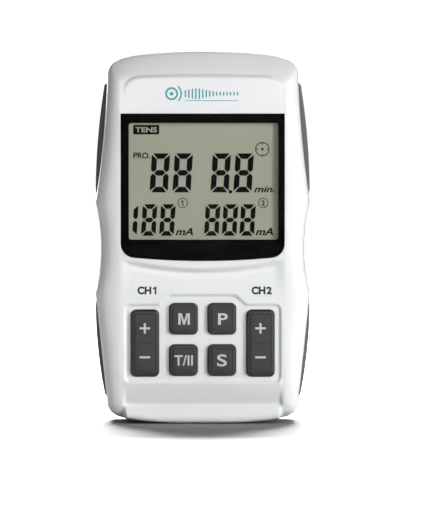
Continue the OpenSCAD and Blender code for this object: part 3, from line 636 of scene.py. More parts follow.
def frontGrid():
    # the casing's front as rows of points, rolled back at both sides to the outer edge
    o = outlineSizes
    xs = spaced(0, o["creaseX"], 1.0, [(10.5, 16, 0.4), (23.6, 26.4, 0.22)])
    xs = np.concatenate([-xs[:0:-1], xs])
    rows = spaced(0, caseHigh, 1.0,
                  [(0, 2.4, 0.15), (2.4, 12.6, 0.35), (12.6, 14.8, 0.2), (37.4, 43.2, 0.22),
                   (48.4, 54.4, 0.25), (104, 118, 0.35), (118, caseHigh, 0.15)])
    turn = np.radians(np.linspace(0, 90, 15))[1:]
    out = np.sin(turn)
    fall = 0.14 * out + 0.86 * (1 - (1 - out ** 2.7).clip(0) ** (1 / 2.7))
    row, x = np.meshgrid(rows, xs, indexing="ij")
    low, high = o["lowCorner"], 110.0
    z = np.where(row < low, footArc(x) + row * (low - footArc(x)) / low,
                 np.where(row > high, high + (row - high) * (headArc(x) - high) / (caseHigh - high), row))
    y = faceDepth(x, row, z)
    edgeZ = z[:, -1]
    edgeY = y[:, -1]
    reach = shellSide(edgeZ) - o["creaseX"]
    sideX = o["creaseX"] + reach[:, None] * out[None, :]
    sideY = edgeY[:, None] + (o["edgeY"] - edgeY)[:, None] * fall[None, :]
    sideZ = np.repeat(edgeZ[:, None], len(out), axis=1)
    gridX = np.hstack([-sideX[:, ::-1], x, sideX])
    gridY = np.hstack([sideY[:, ::-1], y, sideY])
    gridZ = np.hstack([sideZ, z, sideZ])
    return gridX, gridY, gridZ


def boundaryLoop(rowCount, colCount):
    # indices of the grid's edge: along the foot, up the right side, back along the head, down the left
    loop = list(range(colCount))
    loop += [r * colCount + colCount - 1 for r in range(1, rowCount)]
    loop += [(rowCount - 1) * colCount + c for c in range(colCount - 2, -1, -1)]
    loop += [r * colCount for r in range(rowCount - 2, 0, -1)]
    return loop


def gripShare(z):
    # 1 where a side grip lies in its recess, 0 elsewhere
    return smoothStep(8.7, 9.3, z) * smoothStep(110.3, 109.7, z)


def buildFront():
    s, o = frontSizes, outlineSizes
    gx, gy, gz = frontGrid()
    rowCount, colCount = gx.shape
    outer = np.column_stack([gx.ravel(), gy.ravel(), gz.ravel()])
    # the inner skin follows the outer one at the wall's thickness
    ix = np.where(np.abs(gx) > o["creaseX"],
                  np.sign(gx) * (o["creaseX"] + (np.abs(gx) - o["creaseX"]) * 0.7), gx)
    iz = np.where(gz < 8, 8 - (8 - gz) * 0.72, np.where(gz > 112, 112 + (gz - 112) * 0.73, gz))
    iy = gy + 0.6 + (s["wall"] - 0.6) * np.clip((o["edgeY"] - gy) / 6.0, 0, 1)
    inner = np.column_stack([ix.ravel(), iy.ravel(), iz.ravel()])
    verts = [outer, inner]
    count = rowCount * colCount
    faces = []
    for r in range(rowCount - 1):
        for c in range(colCount - 1):
            a, b = r * colCount + c, r * colCount + c + 1
            faces.append((a, b, b + colCount, a + colCount))
            faces.append((a + count, a + colCount + count, b + colCount + count, b + count))
    # the rim runs back from the front's edge to the parting line, stepping in under the grips
    loop = boundaryLoop(rowCount, colCount)
    edge = outer[loop][:, [0, 2]]
    sign = np.sign(edge[:, 0])
    step = 1.25 * gripShare(edge[:, 1]) * (np.abs(edge[:, 0]) > o["creaseX"] + 0.5)
    rings = [(-5.6, 0.0), (-5.5, 1.0), (-0.02, 1.0)]
    last = loop
    total = 2 * count
    n = len(loop)
    for y, share in rings:
        verts.append(np.column_stack([edge[:, 0] - sign * step * share, np.full(n, y), edge[:, 1]]))
        ring = list(range(total, total + n))
        total += n
        faces += [(last[i], ring[i], ring[(i + 1) % n], last[(i + 1) % n]) for i in range(n)]
        last = ring
    innerLoop = [i + count for i in loop]
    innerEdge = inner[loop][:, [0, 2]]
    verts.append(np.column_stack([innerEdge[:, 0], np.full(n, -0.02), innerEdge[:, 1]]))
    ring = list(range(total, total + n))
    faces += [(last[i], ring[i], ring[(i + 1) % n], last[(i + 1) % n]) for i in range(n)]
    faces += [(ring[i], innerLoop[i], innerLoop[(i + 1) % n], ring[(i + 1) % n]) for i in range(n)]
    return closedMesh("casingFront", np.vstack(verts), faces)


def lensOutline(grow, steps=10):
    # square upper corners, round lower ones and a bowed lower edge
    w, top, low = lensHigh.x + grow, lensHigh.z + grow, lensLow.z + 1.4 - grow
    r = 4.6 + grow
    pts = [(-w, top)]
    for i in range(steps + 1):
        a = math.radians(180 + 86 * i / steps)
        pts.append((-w + r + r * math.cos(a), low + r - 0.35 + r * math.sin(a)))
    x0 = pts[-1][0]
    z0 = pts[-1][1]
    for i in range(1, 24):
        x = x0 - 2 * x0 * i / 24
        pts.append((x, z0 - (z0 - lensLow.z + grow) * (1 - (x / x0) ** 2)))
    pts += [(-p[0], p[1]) for p in reversed(pts[1:steps + 2])]
    pts.append((w, top))
    return pts


displayView = {"centre": (0.3, -0.1), "wide": 48.3, "high": 37.7, "round": 0.8}


def viewOutline(grow):
    v = displayView
    c = (viewLow + viewHigh) / 2
    return roundRect(v["centre"][0], c.z + v["centre"][1], v["wide"] + 2 * grow, v["high"] + 2 * grow,
                     v["round"])


smallKeys = ("mode_key", "program_key", "timer_key", "set_key")
rockers = ("ch1_key", "ch2_key")
sockets = ("output_socket_1", "output_socket_2")
keyCap = {"wide": 9.0, "high": 10.0, "round": 1.6, "gap": 0.2, "endGap": 0.2}
rockerCap = {"wide": 8.9, "high": 21.0, "round": 1.6, "gap": 0.2, "endGap": 0.46}


def middle(node):
    low, high = boxMm(node)
    return (low + high) / 2


def socketOpening(x):
    # a round opening through the upper edge, over an output socket
    return roundBar("hole", "z", 3.15, (x, 0, caseHigh - 6), (x, 0, caseHigh + 2))


def frontCutters():
    tools = [closedPrism("lensPocket", lensOutline(0.08), frontY - 2, lensHigh.y + 0.12),
             closedPrism("displayWindow", viewOutline(0.3), frontY - 2, -8)]
    for nodes, k in ((smallKeys, keyCap), (rockers, rockerCap)):
        for node in nodes:
            c = middle(node)
            hole = roundRect(c.x, c.z, k["wide"] + 2 * k["gap"], k["high"] + 2 * k["endGap"],
                             k["round"] + k["gap"])
            tools.append(closedPrism("hole", hole, frontY - 2, -6))
    return tools + [socketOpening(middle(node).x) for node in sockets]


casingFront = buildFront()
cut(casingFront, frontCutters())
install(casingFront, "casing", "front_shell", "mouldedAbs", 38)
print("front of the casing:", len(casingFront.data.polygons), "faces")


# ---- keys

capIn = 0.03        # how far a cap's face lies inside the box of its node


def keyPiece(node, size):
    # a cap with a rounded rim and a face that stands a little proud of it
    c = middle(node)
    w, h, r = size["wide"], size["high"], size["round"]
    faceY = boxMm(node)[0].y + capIn
    profile = [(0.0, faceY + 3.2), (0.0, faceY + 0.85), (0.05, faceY + 0.62), (0.18, faceY + 0.42),
               (0.38, faceY + 0.3), (0.65, faceY + 0.26), (1.0, faceY + 0.25), (1.04, faceY + 0.52),
               (1.16, faceY + 0.52), (1.2, faceY + 0.05), (1.4, faceY), (3.0, faceY)]
    rings = []
    for inset, y in profile:
        rings.append([(px, y, pz) for px, pz in roundRect(c.x, c.z, w - 2 * inset, h - 2 * inset,
                                                         max(r - inset * 0.75, 0.35), 6)])
    obj = closedMesh("cap_" + node, *ringLoft(rings), node, "key_grey", 50)
    dress(obj, "softPaint", "keyPaintedShade")
    # painted shade: faces lying further back than this, the key's sides and the bottom of the groove round
    # its face, take the darker second paint
    shadeFrom = (faceY + 0.45) * mm
    for poly in obj.data.polygons:
        poly.material_index = 1 if poly.center.y > shadeFrom else 0
    crisp(obj, 50)
    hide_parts(node)


def area(points):
    p = np.array(points)
    q = np.roll(p, -1, axis=0)
    return float(np.sum(p[:, 0] * q[:, 1] - q[:, 0] * p[:, 1])) / 2


def printPiece(name, points, faces, y, body, slot, ink, thick=0.012):
    # ink with a little body: flat faces in X and Z get a back and sides
    faces = [list(f) if area([points[i] for i in f]) > 0 else list(f)[::-1] for f in faces]
    n = len(points)
    verts = [(p[0], y - thick, p[1]) for p in points] + [(p[0], y, p[1]) for p in points]
    edges = {(f[k], f[(k + 1) % len(f)]) for f in faces for k in range(len(f))}
    skin = list(faces) + [[i + n for i in reversed(f)] for f in faces]
    skin += [[b, a, a + n, b + n] for a, b in edges if (b, a) not in edges]
    obj = meshPiece(name, verts, skin, body, slot, 30)
    dress(obj, ink)
    return obj


def textPiece(name, words, cx, cz, capHigh, y, body, slot, ink, thick=0.0, shear=0.0, wide=None):
    # a printed legend, centred on cx and cz
    curve = bpy.data.curves.new(name, "FONT")
    curve.body = words
    curve.shear = shear
    curve.offset = thick
    curve.fill_mode = "FRONT"
    curve.resolution_u = 5
    obj = newObject(name, curve)
    mesh = bakedMesh(obj)
    bpy.data.objects.remove(obj)
    seen, index, points = {}, [], []
    for v in mesh.vertices:
        key = (round(v.co.x, 5), round(v.co.y, 5))
        if key not in seen:
            seen[key] = len(points)
            points.append(key)
        index.append(seen[key])
    faces = [list(dict.fromkeys(index[i] for i in f.vertices)) for f in mesh.polygons]
    bpy.data.meshes.remove(mesh)
    p = np.array(points)
    low, high = p.min(axis=0), p.max(axis=0)
    up = capHigh / (high[1] - low[1])
    across = up if wide is None else wide / (high[0] - low[0])
    p = (p - (low + high) / 2) * (across, up) + (cx, cz)
    return printPiece(name, [tuple(q) for q in p], [f for f in faces if len(f) > 2], y, body, slot, ink)


def flatPiece(name, shapes, y, thick, body, slot, ink):
    # several flat outlines in X and Z made into one thin print
    points, faces = [], []
    for shape in shapes:
        faces.append(list(range(len(points), len(points) + len(shape))))
        points += shape
    return printPiece(name, points, faces, y, body, slot, ink, thick)


def letterM(cx, cz, w, h, s):
    half = [(-w / 2, -h / 2), (s - w / 2, -h / 2), (s - w / 2, h * 0.3), (-s * 0.4, -h / 2)]
    top = [(w / 2, h / 2), (w / 2 - s * 1.5, h / 2), (0, -h * 0.18), (s * 1.5 - w / 2, h / 2),
           (-w / 2, h / 2)]
    pts = half + [(-x, z) for x, z in reversed(half)] + top
    return [(cx + x, cz + z) for x, z in pts]


def figureOne(cx, cz, h, s):
    # a one with its flag
    pts = [(0, -h / 2), (s, -h / 2), (s, h / 2), (s * 0.35, h / 2), (-h * 0.22, h * 0.27),
           (-h * 0.22, h * 0.1), (0, h * 0.2)]
    return [(cx + x - s / 3, cz + z) for x, z in pts]


legends = {  # words, cap height, width, shift to the right
    "mode_key": ("M", 3.7, 3.7, 0.2), "program_key": ("P", 3.7, 3.1, 0.35),
    "timer_key": ("T/II", 3.4, 6.0, 0.05), "set_key": ("S", 3.9, 3.2, 0.05),
}
inkThick = 0.012
for node, (words, high, wide, shift) in legends.items():
    c = middle(node)
    keyPiece(node, keyCap)
    inkY = boxMm(node)[0].y + capIn - 0.01
    if words == "M":
        flatPiece("legend_" + node, [letterM(c.x + shift, c.z, wide, high, 0.72)], inkY, inkThick, node,
                  "key_grey", "legendInk")
    else:
        textPiece("legend_" + node, words, c.x + shift, c.z, high, inkY, node, "key_grey", "legendInk",
                  thick=0.015, wide=wide)


def strokeRect(cx, cz, w, h):
    return [(cx + sx * w / 2, cz + sz * h / 2) for sx, sz in ((-1, -1), (1, -1), (1, 1), (-1, 1))]


rockerPrint = {
    "plusUp": 4.9, "minusDown": 4.5, "size": 3.4, "stroke": 0.65, "lineWide": 4.2, "lineHigh": 0.24,
}
for node in rockers:
    c = middle(node)
    p = rockerPrint
    faceY = boxMm(node)[0].y + capIn
    keyPiece(node, rockerCap)
    # a dark strip across the rocker's middle: painted shade where a groove would part its two ends
    flatPiece("grooveShade_" + node, [strokeRect(c.x, c.z, p["lineWide"], p["lineHigh"])], faceY - 0.005, 0.01,
              node, "key_grey", "keyPaintedShade")
    plus = [strokeRect(c.x, c.z + p["plusUp"], p["size"], p["stroke"])]
    gap = (p["size"] + p["stroke"]) / 4
    plus += [strokeRect(c.x, c.z + p["plusUp"] + k * gap, p["stroke"], (p["size"] - p["stroke"]) / 2)
             for k in (-1, 1)]
    plus.append(strokeRect(c.x, c.z - p["minusDown"], p["size"], p["stroke"]))
    flatPiece("legend_" + node, plus, faceY - 0.01, inkThick, node, "key_grey", "legendInk")
print("keys made")


# ---- print on the casing

faceAt = frontY + frontSizes["keypadDrop"]
onCasing = ("casing", "case_white", "casingInk")
channelZ = 43.4
for label, x in (("1", -17.9), ("2", 19.0)):
    textPiece("printChannel" + label, "CH", x - 0.95, channelZ, 2.6, faceAt, *onCasing, thick=0.05, wide=4.5)
    if label == "1":
        flatPiece("printFigure1", [figureOne(x + 2.55, channelZ, 2.5, 0.55)], faceAt, inkThick, *onCasing)
    else:
        textPiece("printFigure2", "2", x + 2.5, channelZ, 2.5, faceAt, *onCasing, thick=0.05, wide=1.75)


def ringShape(cx, cz, r, width, start=0.0, sweep=math.pi, steps=24):
    a = np.linspace(start, start + sweep, steps)
    outer = [(cx + r * math.cos(t), cz + r * math.sin(t)) for t in a]
    inner = [(cx + (r - width) * math.cos(t), cz + (r - width) * math.sin(t)) for t in a[::-1]]
    return outer + inner


def fullRing(cx, cz, r, width):
    return [ringShape(cx, cz, r, width, k * math.pi) for k in (0, 1)]


def disc(cx, cz, r, steps=20):
    return [(cx + r * math.cos(2 * math.pi * i / steps), cz + r * math.sin(2 * math.pi * i / steps))
            for i in range(steps)]


printMark = {  # a plain pad that sends out a burst of pulses
    "left": -12.1, "z": 107.0, "ring": 2.1, "stroke": 0.62, "bars": 16, "pitch": 1.12, "barWide": 0.5,
    "tall": 3.6, "lineZ": 104.75, "lineThick": 0.22,
}


def pulseMark():
    m = printMark
    cx = m["left"] + m["ring"]
    shapes = fullRing(cx, m["z"], m["ring"], m["stroke"]) + [disc(cx, m["z"], 0.62)]
    shapes.append(ringShape(cx, m["z"], m["ring"] + 1.25, m["stroke"] * 0.8, -0.85, 1.7))
    start = cx + m["ring"] + 2.35
    for k in range(m["bars"]):
        high = m["tall"] * (0.34 + 0.66 * math.exp(-((k - 3.2) / 3.6) ** 2))
        shapes.append(roundRect(start + k * m["pitch"], m["z"], m["barWide"], high, m["barWide"] * 0.49, 4))
    right = start + (m["bars"] - 1) * m["pitch"] + m["barWide"] / 2
    shapes.append(strokeRect((start + right) / 2, m["lineZ"], right - start, m["lineThick"]))
    return shapes


flatPiece("printMark", pulseMark(), frontY, inkThick, "casing", "case_white", "markInk")


# ---- display

displayArt = {
    "slant": math.tan(math.radians(3.6)),
    "big": {"wide": 5.9, "high": 12.6, "stroke": 1.78, "left": [-17.2, -9.8, 2.5, 9.9], "low": 75.1},
    "small": {"wide": 4.75, "high": 10.2, "stroke": 1.5, "left": [-20.0, -14.1, 0.4, 6.15, 11.85],
              "low": 61.05},
}


def digit(left, low, spec, segments="abcdefg"):
    # seven bars with pointed ends, leaning to the right
    w, h, s, gap = spec["wide"], spec["high"], spec["stroke"], 0.16
    mid, t = h / 2, s / 2
    bars = {
        "a": [(gap + 0.3, h), (w - gap - 0.3, h), (w - s - gap * 0.6, h - s), (s + gap * 0.6, h - s)],
        "d": [(s + gap * 0.6, s), (w - s - gap * 0.6, s), (w - gap - 0.3, 0), (gap + 0.3, 0)],
        "g": [(s * 0.55 + gap, mid), (s + gap, mid + t), (w - s - gap, mid + t),
              (w - s * 0.55 - gap, mid), (w - s - gap, mid - t), (s + gap, mid - t)],
        "f": [(0, h - 0.3 - gap), (s, h - s - gap), (s, mid + t + gap), (s * 0.45, mid + gap * 1.2),
              (0, mid + t + gap)],
        "e": [(0, 0.3 + gap), (0, mid - t - gap), (s * 0.45, mid - gap * 1.2), (s, mid - t - gap),
              (s, s + gap)],
        "b": [(w, h - 0.3 - gap), (w, mid + t + gap), (w - s * 0.45, mid + gap * 1.2),
              (w - s, mid + t + gap), (w - s, h - s - gap)],
        "c": [(w, 0.3 + gap), (w - s, s + gap), (w - s, mid - t - gap), (w - s * 0.45, mid - gap * 1.2),
              (w, mid - t - gap)],
    }
    lean = displayArt["slant"]
    return [[(left + x + lean * z, low + z) for x, z in bars[k]] for k in segments]


glassFront = boxMm("lcd_front_glass")[0].y
artY = glassFront - 0.03
segmentThick = 0.01
onDisplay = ("casing", "lcd_film", "segmentBlack")
clock = (19.3, 89.05)
channelRings = ((-6.45, 71.65), (19.55, 71.65))
art = []
for size in ("big", "small"):
    for left in displayArt[size]["left"]:
        art += digit(left, displayArt[size]["low"], displayArt[size])
art += digit(-26.1, displayArt["small"]["low"], displayArt["small"], "bc")
art.append(disc(9.0, 75.3, 0.58))
art += fullRing(*clock, 2.3, 0.28)
art += [strokeRect(clock[0] + dx, clock[1] + dz, 0.3 if dx == 0 else 0.6, 0.6 if dx == 0 else 0.3)
        for dx, dz in ((0, 1.75), (0, -1.75), (1.75, 0), (-1.75, 0))]
art.append([(clock[0] + dx, clock[1] + dz) for dx, dz in ((0, -0.7), (0.65, 0.55), (0, 0.25), (-0.65, 0.55))])
for spot in channelRings:
    art += fullRing(*spot, 1.65, 0.22)
flatPiece("displaySegments", art, artY, segmentThick, *onDisplay)
badge = (-18.25, 95.35)
flatPiece("displayBadge", [roundRect(*badge, 8.4, 3.0, 0.35, 3)], artY, segmentThick, *onDisplay)
textPiece("displayBadgeWords", "TENS", *badge, 1.75, artY - segmentThick, "casing", "lcd_film", "polariser",
          thick=0.03, wide=7.0)
flatPiece("displayOne", [figureOne(*channelRings[0], 1.8, 0.32)], artY, segmentThick, *onDisplay)
displayWords = [  # words, centre, cap height, width, lean
    ("PRO.", -19.7, 87.0, 1.95, 5.4, 0.0), ("min.", 19.9, 76.1, 2.0, 6.6, 0.3),
    ("mA", -5.95, 62.4, 2.45, 5.7, 0.3), ("mA", 19.95, 62.4, 2.45, 5.7, 0.3),
    ("2", *channelRings[1], 1.75, 1.15, 0.0),
]
for k, (words, cx, cz, high, wide, lean) in enumerate(displayWords):
    textPiece("displayWord" + str(k), words, cx, cz, high, artY, *onDisplay, thick=0.025, shear=lean,
              wide=wide)

lens = bevelled(closedPrism("lensSheet", lensOutline(0), lensLow.y, lensHigh.y), 0.12)
install(lens, "casing", "display_lens", "clearAcrylic", 30)
lensPrint = closedPrism("lensPrint", lensOutline(-0.02), lensHigh.y + 0.01, lensHigh.y + 0.09)
cut(lensPrint, [closedPrism("hole", viewOutline(0), frontY, 0)])
install(lensPrint, "casing", "lens_border", "lensInk", 30)
print("display made")


# ---- rear of the casing

rearSizes = {
    "sideStart": 6.5, "sideIn": 6.0,        # where the back's rounding starts and how far it comes in
    "topStart": 7.5, "topIn": 6.5, "footStart": 8.5, "footIn": 5.5,
    "wall": 2.2, "gripStep": 1.25,
    "door": (23.55, 9.25, 66.25),           # half width, lower and upper edge of the opening
    "bay": (22.4, 11.5, 64.0, 0.8), "bayWall": 1.2, "rimY": 11.7,     # the bay's half width, ends and floor
    "wireWays": (-21.2, 21.2), "ridges": (-10.8, 0.0, 10.8),
    "bosses": [(24.0, 107.5), (26.8, 14.0)], "bossR": 2.4, "boreR": 2.1, "shankR": 1.2,
    "earX": (5.2, 7.0), "pivot": (16.2, 101.0), "lugR": 2.2,
}


def lugOutline(rootY, spread):
    # round about the pivot, widening with a fillet towards the root
    s = rearSizes
    y0, z0, r = s["pivot"][0], s["pivot"][1], s["lugR"]
    away = 1 if rootY < y0 else -1
    pts = [(y0 + away * r * math.cos(a), z0 + r * math.sin(a))
           for a in np.linspace(-math.pi / 2, math.pi / 2, 17)]
    flare = [(0.55, 0.06), (0.8, 0.35), (1.0, 1.0)]
    up = [(y0 + (rootY - y0) * t, z0 + r + spread * f) for t, f in flare]
    down = [(y, 2 * z0 - z) for y, z in reversed(up)]
    return pts + up + down


def casingLoop():
    # points round the casing's largest outline, anticlockwise seen from the front
    gx, gy, gz = frontGrid()
    loop = boundaryLoop(*gx.shape)
    return np.column_stack([gx.ravel()[loop], gz.ravel()[loop]])


def buildRear():
    s, o = rearSizes, outlineSizes
    edge = casingLoop()
    n = len(edge)
    mid = caseHigh / 2
    recess = s["gripStep"] * gripShare(edge[:, 1]) * (np.abs(edge[:, 0]) > o["creaseX"] + 0.5)

    def ring(y, turn, thin, stepIn):
        # one section: straight back to y, or part of a turn round the rear edge
        x = edge[:, 0] - np.sign(edge[:, 0]) * recess * stepIn
        shrink = 1 - math.cos(turn)
        zIn = np.where(edge[:, 1] > mid, s["topIn"], s["footIn"]) * shrink + thin
        fx = 1 - (s["sideIn"] * shrink + thin) / halfWide
        fz = 1 - zIn / mid
        yStart = np.where(edge[:, 1] > mid, s["topStart"], s["footStart"])
        weight = np.abs(edge[:, 1] - mid) / mid
        start = s["sideStart"] + (yStart - s["sideStart"]) * np.clip(weight, 0, 1) ** 6
        depth = y if turn == 0 else start + (backY - thin - start) * math.sin(turn)
        return np.column_stack([x * fx, depth * np.ones(n), mid + (edge[:, 1] - mid) * fz])

    turns = np.radians(np.linspace(0, 90, 15))[1:]
    outer = [ring(0.02, 0, 0, 1), ring(5.5, 0, 0, 1), ring(5.6, 0, 0, 0), ring(6.4, 0, 0, 0)]
    outer += [ring(0, t, 0, 0) for t in turns]
    inner = [ring(0.02, 0, s["wall"], 0.3), ring(6.0, 0, s["wall"], 0.3)]
    inner += [ring(0, t, s["wall"], 0) for t in turns[::2]] + [ring(0, turns[-1], s["wall"], 0)]
    obj = closedMesh("casingRear", *ringLoft([[tuple(p) for p in r] for r in inner[::-1] + outer]))
    half, low, high = s["door"]
    cutters = [block("opening", (-half, backY - 4, low), (half, backY + 1, high))]
    for sx in (-1, 1):
        cutters += [roundBar("bore", "y", s["boreR"], (sx * x, backY - 5, z), (sx * x, backY + 1, z))
                    for x, z in s["bosses"]]
        cutters.append(socketOpening(sx * middle(sockets[1]).x))
    cut(obj, cutters)
    return obj


def buildBay():
    # the battery box, with its rim and the low ridges that keep the cells apart
    s = rearSizes
    half, low, high, floorY = s["bay"]
    w = s["bayWall"]
    box = block("bay", (-half - w, floorY - w, low - w), (half + w, s["rimY"], high + w))
    rim = block("rim", (-half - 2.6, s["rimY"] - 1.4, low - 2.8), (half + 2.6, s["rimY"] - 0.001, high + 3))
    cut(box, [rim], "UNION")
    ways = [block("way", (x - 1.2, floorY - 3, high - 3), (x + 1.2, 2.6, high + 3)) for x in s["wireWays"]]
    cut(box, [block("inside", (-half, floorY, low), (half, backY, high)), *ways])
    for x in s["ridges"]:
        section = ((x - 1, floorY - 0.2), (x + 1, floorY - 0.2), (x + 0.25, floorY + 1.7),
                   (x - 0.25, floorY + 1.7))
        ridge = ringLoft([[(px, py, z) for px, py in section] for z in (low + 6, high - 6)])
        cut(box, [closedMesh("ridge", *ridge)], "UNION")
    return box


def buildBoss(x, z):
    s = rearSizes
    boss = roundBar("boss", "y", s["bossR"], (x, 0.05, z), (x, backY - 2.4, z))
    cut(boss, [roundBar("bore", "y", s["shankR"], (x, -1, z), (x, backY, z))])
    return boss


def gather(name, parts, body, node):
    # several closed shapes of white plastic that overlap become one piece
    verts, faces = [], []
    for part in parts:
        at = len(verts)
        verts += [tuple(c / mm for c in v.co) for v in part.data.vertices]
        faces += [[i + at for i in f.vertices] for f in part.data.polygons]
        bpy.data.objects.remove(part)
    obj = meshPiece(name, verts, faces, body, "case_white", 38)
    dress(obj, "mouldedAbs")
    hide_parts(node)
    return obj


def lugPair(name, rootY, spread, xs, bevel):
    # the same lug on both sides
    return [prismX(name, lugOutline(rootY, spread), *sorted(sx * x for x in xs), bevel) for sx in (-1, 1)]


ears = lugPair("ear", backY - 0.6, 1.1, rearSizes["earX"], 0.18)
bosses = [buildBoss(sx * x, z) for sx in (-1, 1) for x, z in rearSizes["bosses"]]
hinge = [block("hinge", (x - 0.7, backY - 2.6, 8.5), (x + 0.7, backY - 2.0, 11.7)) for x in (-24.25, 24.25)]
casingRear = gather("casingRear", [buildRear(), buildBay(), *bosses, *ears, *hinge], "casing", "rear_shell")
print("rear of the casing:", len(casingRear.data.polygons), "faces")


# ---- rows of ribs, made by one node tree

def ribTree():
    tree = bpy.data.node_groups.new("ribRow", "GeometryNodeTree")
    face = tree.interface
    face.new_socket("Geometry", in_out="INPUT", socket_type="NodeSocketGeometry")
    for label, kind, value in (("Count", "NodeSocketInt", 5), ("Pitch", "NodeSocketVector", (0, 0, 0.002)),
                               ("Length", "NodeSocketFloat", 0.01), ("Radius", "NodeSocketFloat", 0.0004),
                               ("Start", "NodeSocketVector", (0, 0, 0)),
                               ("Turn", "NodeSocketVector", (0, 0, 0)),
                               ("Finish", "NodeSocketMaterial", None)):
        socket = face.new_socket(label, in_out="INPUT", socket_type=kind)
        if value is not None:
            socket.default_value = value
    face.new_socket("Geometry", in_out="OUTPUT", socket_type="NodeSocketGeometry")
    given = tree.nodes.new("NodeGroupInput").outputs
    line = addNode(tree, "GeometryNodeMeshLine", {"mode": "OFFSET"},
                   {"Count": given["Count"], "Start Location": given["Start"], "Offset": given["Pitch"]})
    # each rib is a short rod: a round profile swept along a line, with its ends closed
    reach = addNode(tree, "ShaderNodeCombineXYZ", {}, {0: given["Length"]})
    back, fore = [addNode(tree, "ShaderNodeVectorMath", {"operation": "SCALE"},
                          {0: reach.outputs[0], "Scale": end}).outputs[0] for end in (-0.5, 0.5)]
    spine = addNode(tree, "GeometryNodeCurvePrimitiveLine", {}, {"Start": back, "End": fore})
    ring = addNode(tree, "GeometryNodeCurvePrimitiveCircle", {},
                   {"Resolution": 12, "Radius": given["Radius"]})
    bar = addNode(tree, "GeometryNodeCurveToMesh", {},
                  {"Curve": spine.outputs[0], "Profile Curve": ring.outputs["Curve"], "Fill Caps": True})
    put = addNode(tree, "GeometryNodeInstanceOnPoints", {},
                  {"Points": line.outputs[0], "Instance": bar.outputs[0], "Rotation": given["Turn"]})
    real = addNode(tree, "GeometryNodeRealizeInstances", {}, {0: put.outputs[0]})
    skin = addNode(tree, "GeometryNodeSetMaterial", {},
                   {"Geometry": real.outputs[0], "Material": given["Finish"]})
    done = tree.nodes.new("NodeGroupOutput")
    tree.links.new(skin.outputs[0], done.inputs[0])
    return tree


ribNodes = ribTree()


def ribRow(name, row, body, finish):
    # row gives count, pitch, length, radius, start and turn; the result is a plain mesh
    seed = newObject(name + "Seed", bpy.data.meshes.new(name + "Seed"))
    mod = seed.modifiers.new("ribs", "NODES")
    mod.node_group = ribNodes
    slots = {i.name: i.identifier for i in ribNodes.interface.items_tree if i.in_out == "INPUT"}
    values = {"Count": row["count"], "Pitch": [c * mm for c in row["pitch"]], "Length": row["length"] * mm,
              "Radius": row["radius"] * mm, "Start": [c * mm for c in row["start"]],
              "Turn": [math.radians(c) for c in row.get("turn", (0, 0, 0))], "Finish": mats[finish]}
    for label, value in values.items():
        mod[slots[label]] = value
    seed.update_tag()
    made = bakedMesh(seed)
    bpy.data.objects.remove(seed)
    made.name = name
    obj = newObject(name, made)
    fixNormals(obj)
    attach(obj, body)
    dress(obj, finish)
    crisp(obj, 40)


# ---- battery door

doorSizes = {
    "half": 23.3, "thick": 1.6, "pinR": 0.6, "ribs": 5,
    "dimple": (16.0, 9.0, 0.55), "dimpleDown": 2.6,     # width, height and depth; from the upper edge
}


def buildDoor():
    d = doorSizes
    half = d["half"]
    y0, y1 = doorHigh.y - d["thick"], doorHigh.y
    cz, tall = (doorLow.z + doorHigh.z) / 2, doorHigh.z - doorLow.z
    profile = [(0.8, y0), (0.35, y0 + 0.12), (0.08, y0 + 0.4), (0, y0 + 0.8), (0.05, y1 - 0.42),
               (0.22, y1 - 0.16), (0.55, y1 - 0.02), (0.9, y1)]
    rings = [[(px, y, pz) for px, pz in roundRect(0, cz, 2 * (half - t), tall - 2 * t, max(1.3 - t, 0.3), 6)]
             for t, y in profile]
    slab = closedMesh("slab", *ringLoft(rings))
    w, h, deep = d["dimple"]
    top = doorHigh.z - d["dimpleDown"]
    tool = closedPrism("dimple", roundRect(0, top - h / 2, w, h, h / 2 - 0.2, 10), y1 - deep, y1 + 1)
    cut(slab, [tool])
    pins = [roundBar("pin", "x", d["pinR"], (sx * (half - 0.5), y1 - 0.8, doorLow.z + 0.8),
                     (sx * (half + 0.97), y1 - 0.8, doorLow.z + 0.8), 24) for sx in (-1, 1)]
    gather("doorPanel", [slab, *pins], "battery_door", "battery_door")


buildDoor()
ribRow("doorRibs", {"count": doorSizes["ribs"], "pitch": (0, 0, 1.5), "length": 10.5, "radius": 0.42,
                    "start": (0, doorHigh.y - 0.56, doorHigh.z - doorSizes["dimpleDown"] - 7.5)},
       "battery_door", "mouldedAbs")


# ---- belt clip

clipLow, clipHigh = boxMm("belt_clip")
clipSizes = {"thick": 2.0, "round": 3.0, "tip": (6.0, 1.6), "lugX": (7.3, 8.9), "ribs": 5, "ribRise": 0.25}


def buildClip():
    c = clipSizes
    y1 = clipHigh.y - c["ribRise"]
    y0 = clipHigh.y - c["thick"]
    half = clipHigh.x
    cz = (clipLow.z + clipHigh.z) / 2
    tall = clipHigh.z - clipLow.z
    profile = [(0.7, y0), (0.25, y0 + 0.14), (0.04, y0 + 0.5), (0, y0 + 1.0), (0.06, y1 - 0.62),
               (0.3, y1 - 0.25), (0.75, y1 - 0.05), (1.3, y1)]
    rings = []
    for t, y in profile:
        outline = roundRect(0, cz, 2 * half - 2 * t, tall - 2 * t, c["round"] - t * 0.7, 10)
        rings.append([(px, y, pz) for px, pz in outline])
    plate = closedMesh("plate", *ringLoft(rings))
    # the tip is a rounded nose that keeps a belt from sliding out
    w, deep = c["tip"]
    ly, lz = clipLow.y, clipLow.z
    nose = [(y0 + 0.3, lz + 3.2), (y0 - 0.6, lz + 2.0), (ly + 0.9, lz + deep), (ly + 0.25, lz + 1.35),
            (ly, lz + 0.8), (ly + 0.3, lz + 0.25), (ly + 0.9, lz), (y0 + 0.3, lz + 0.1)]
    tip = prismX("tip", nose, -w, w, 0.2)
    lugs = lugPair("lug", y0 + 0.3, 1.2, c["lugX"], 0.16)
    gather("clipLever", [plate, tip, *lugs], "belt_clip", "belt_clip")


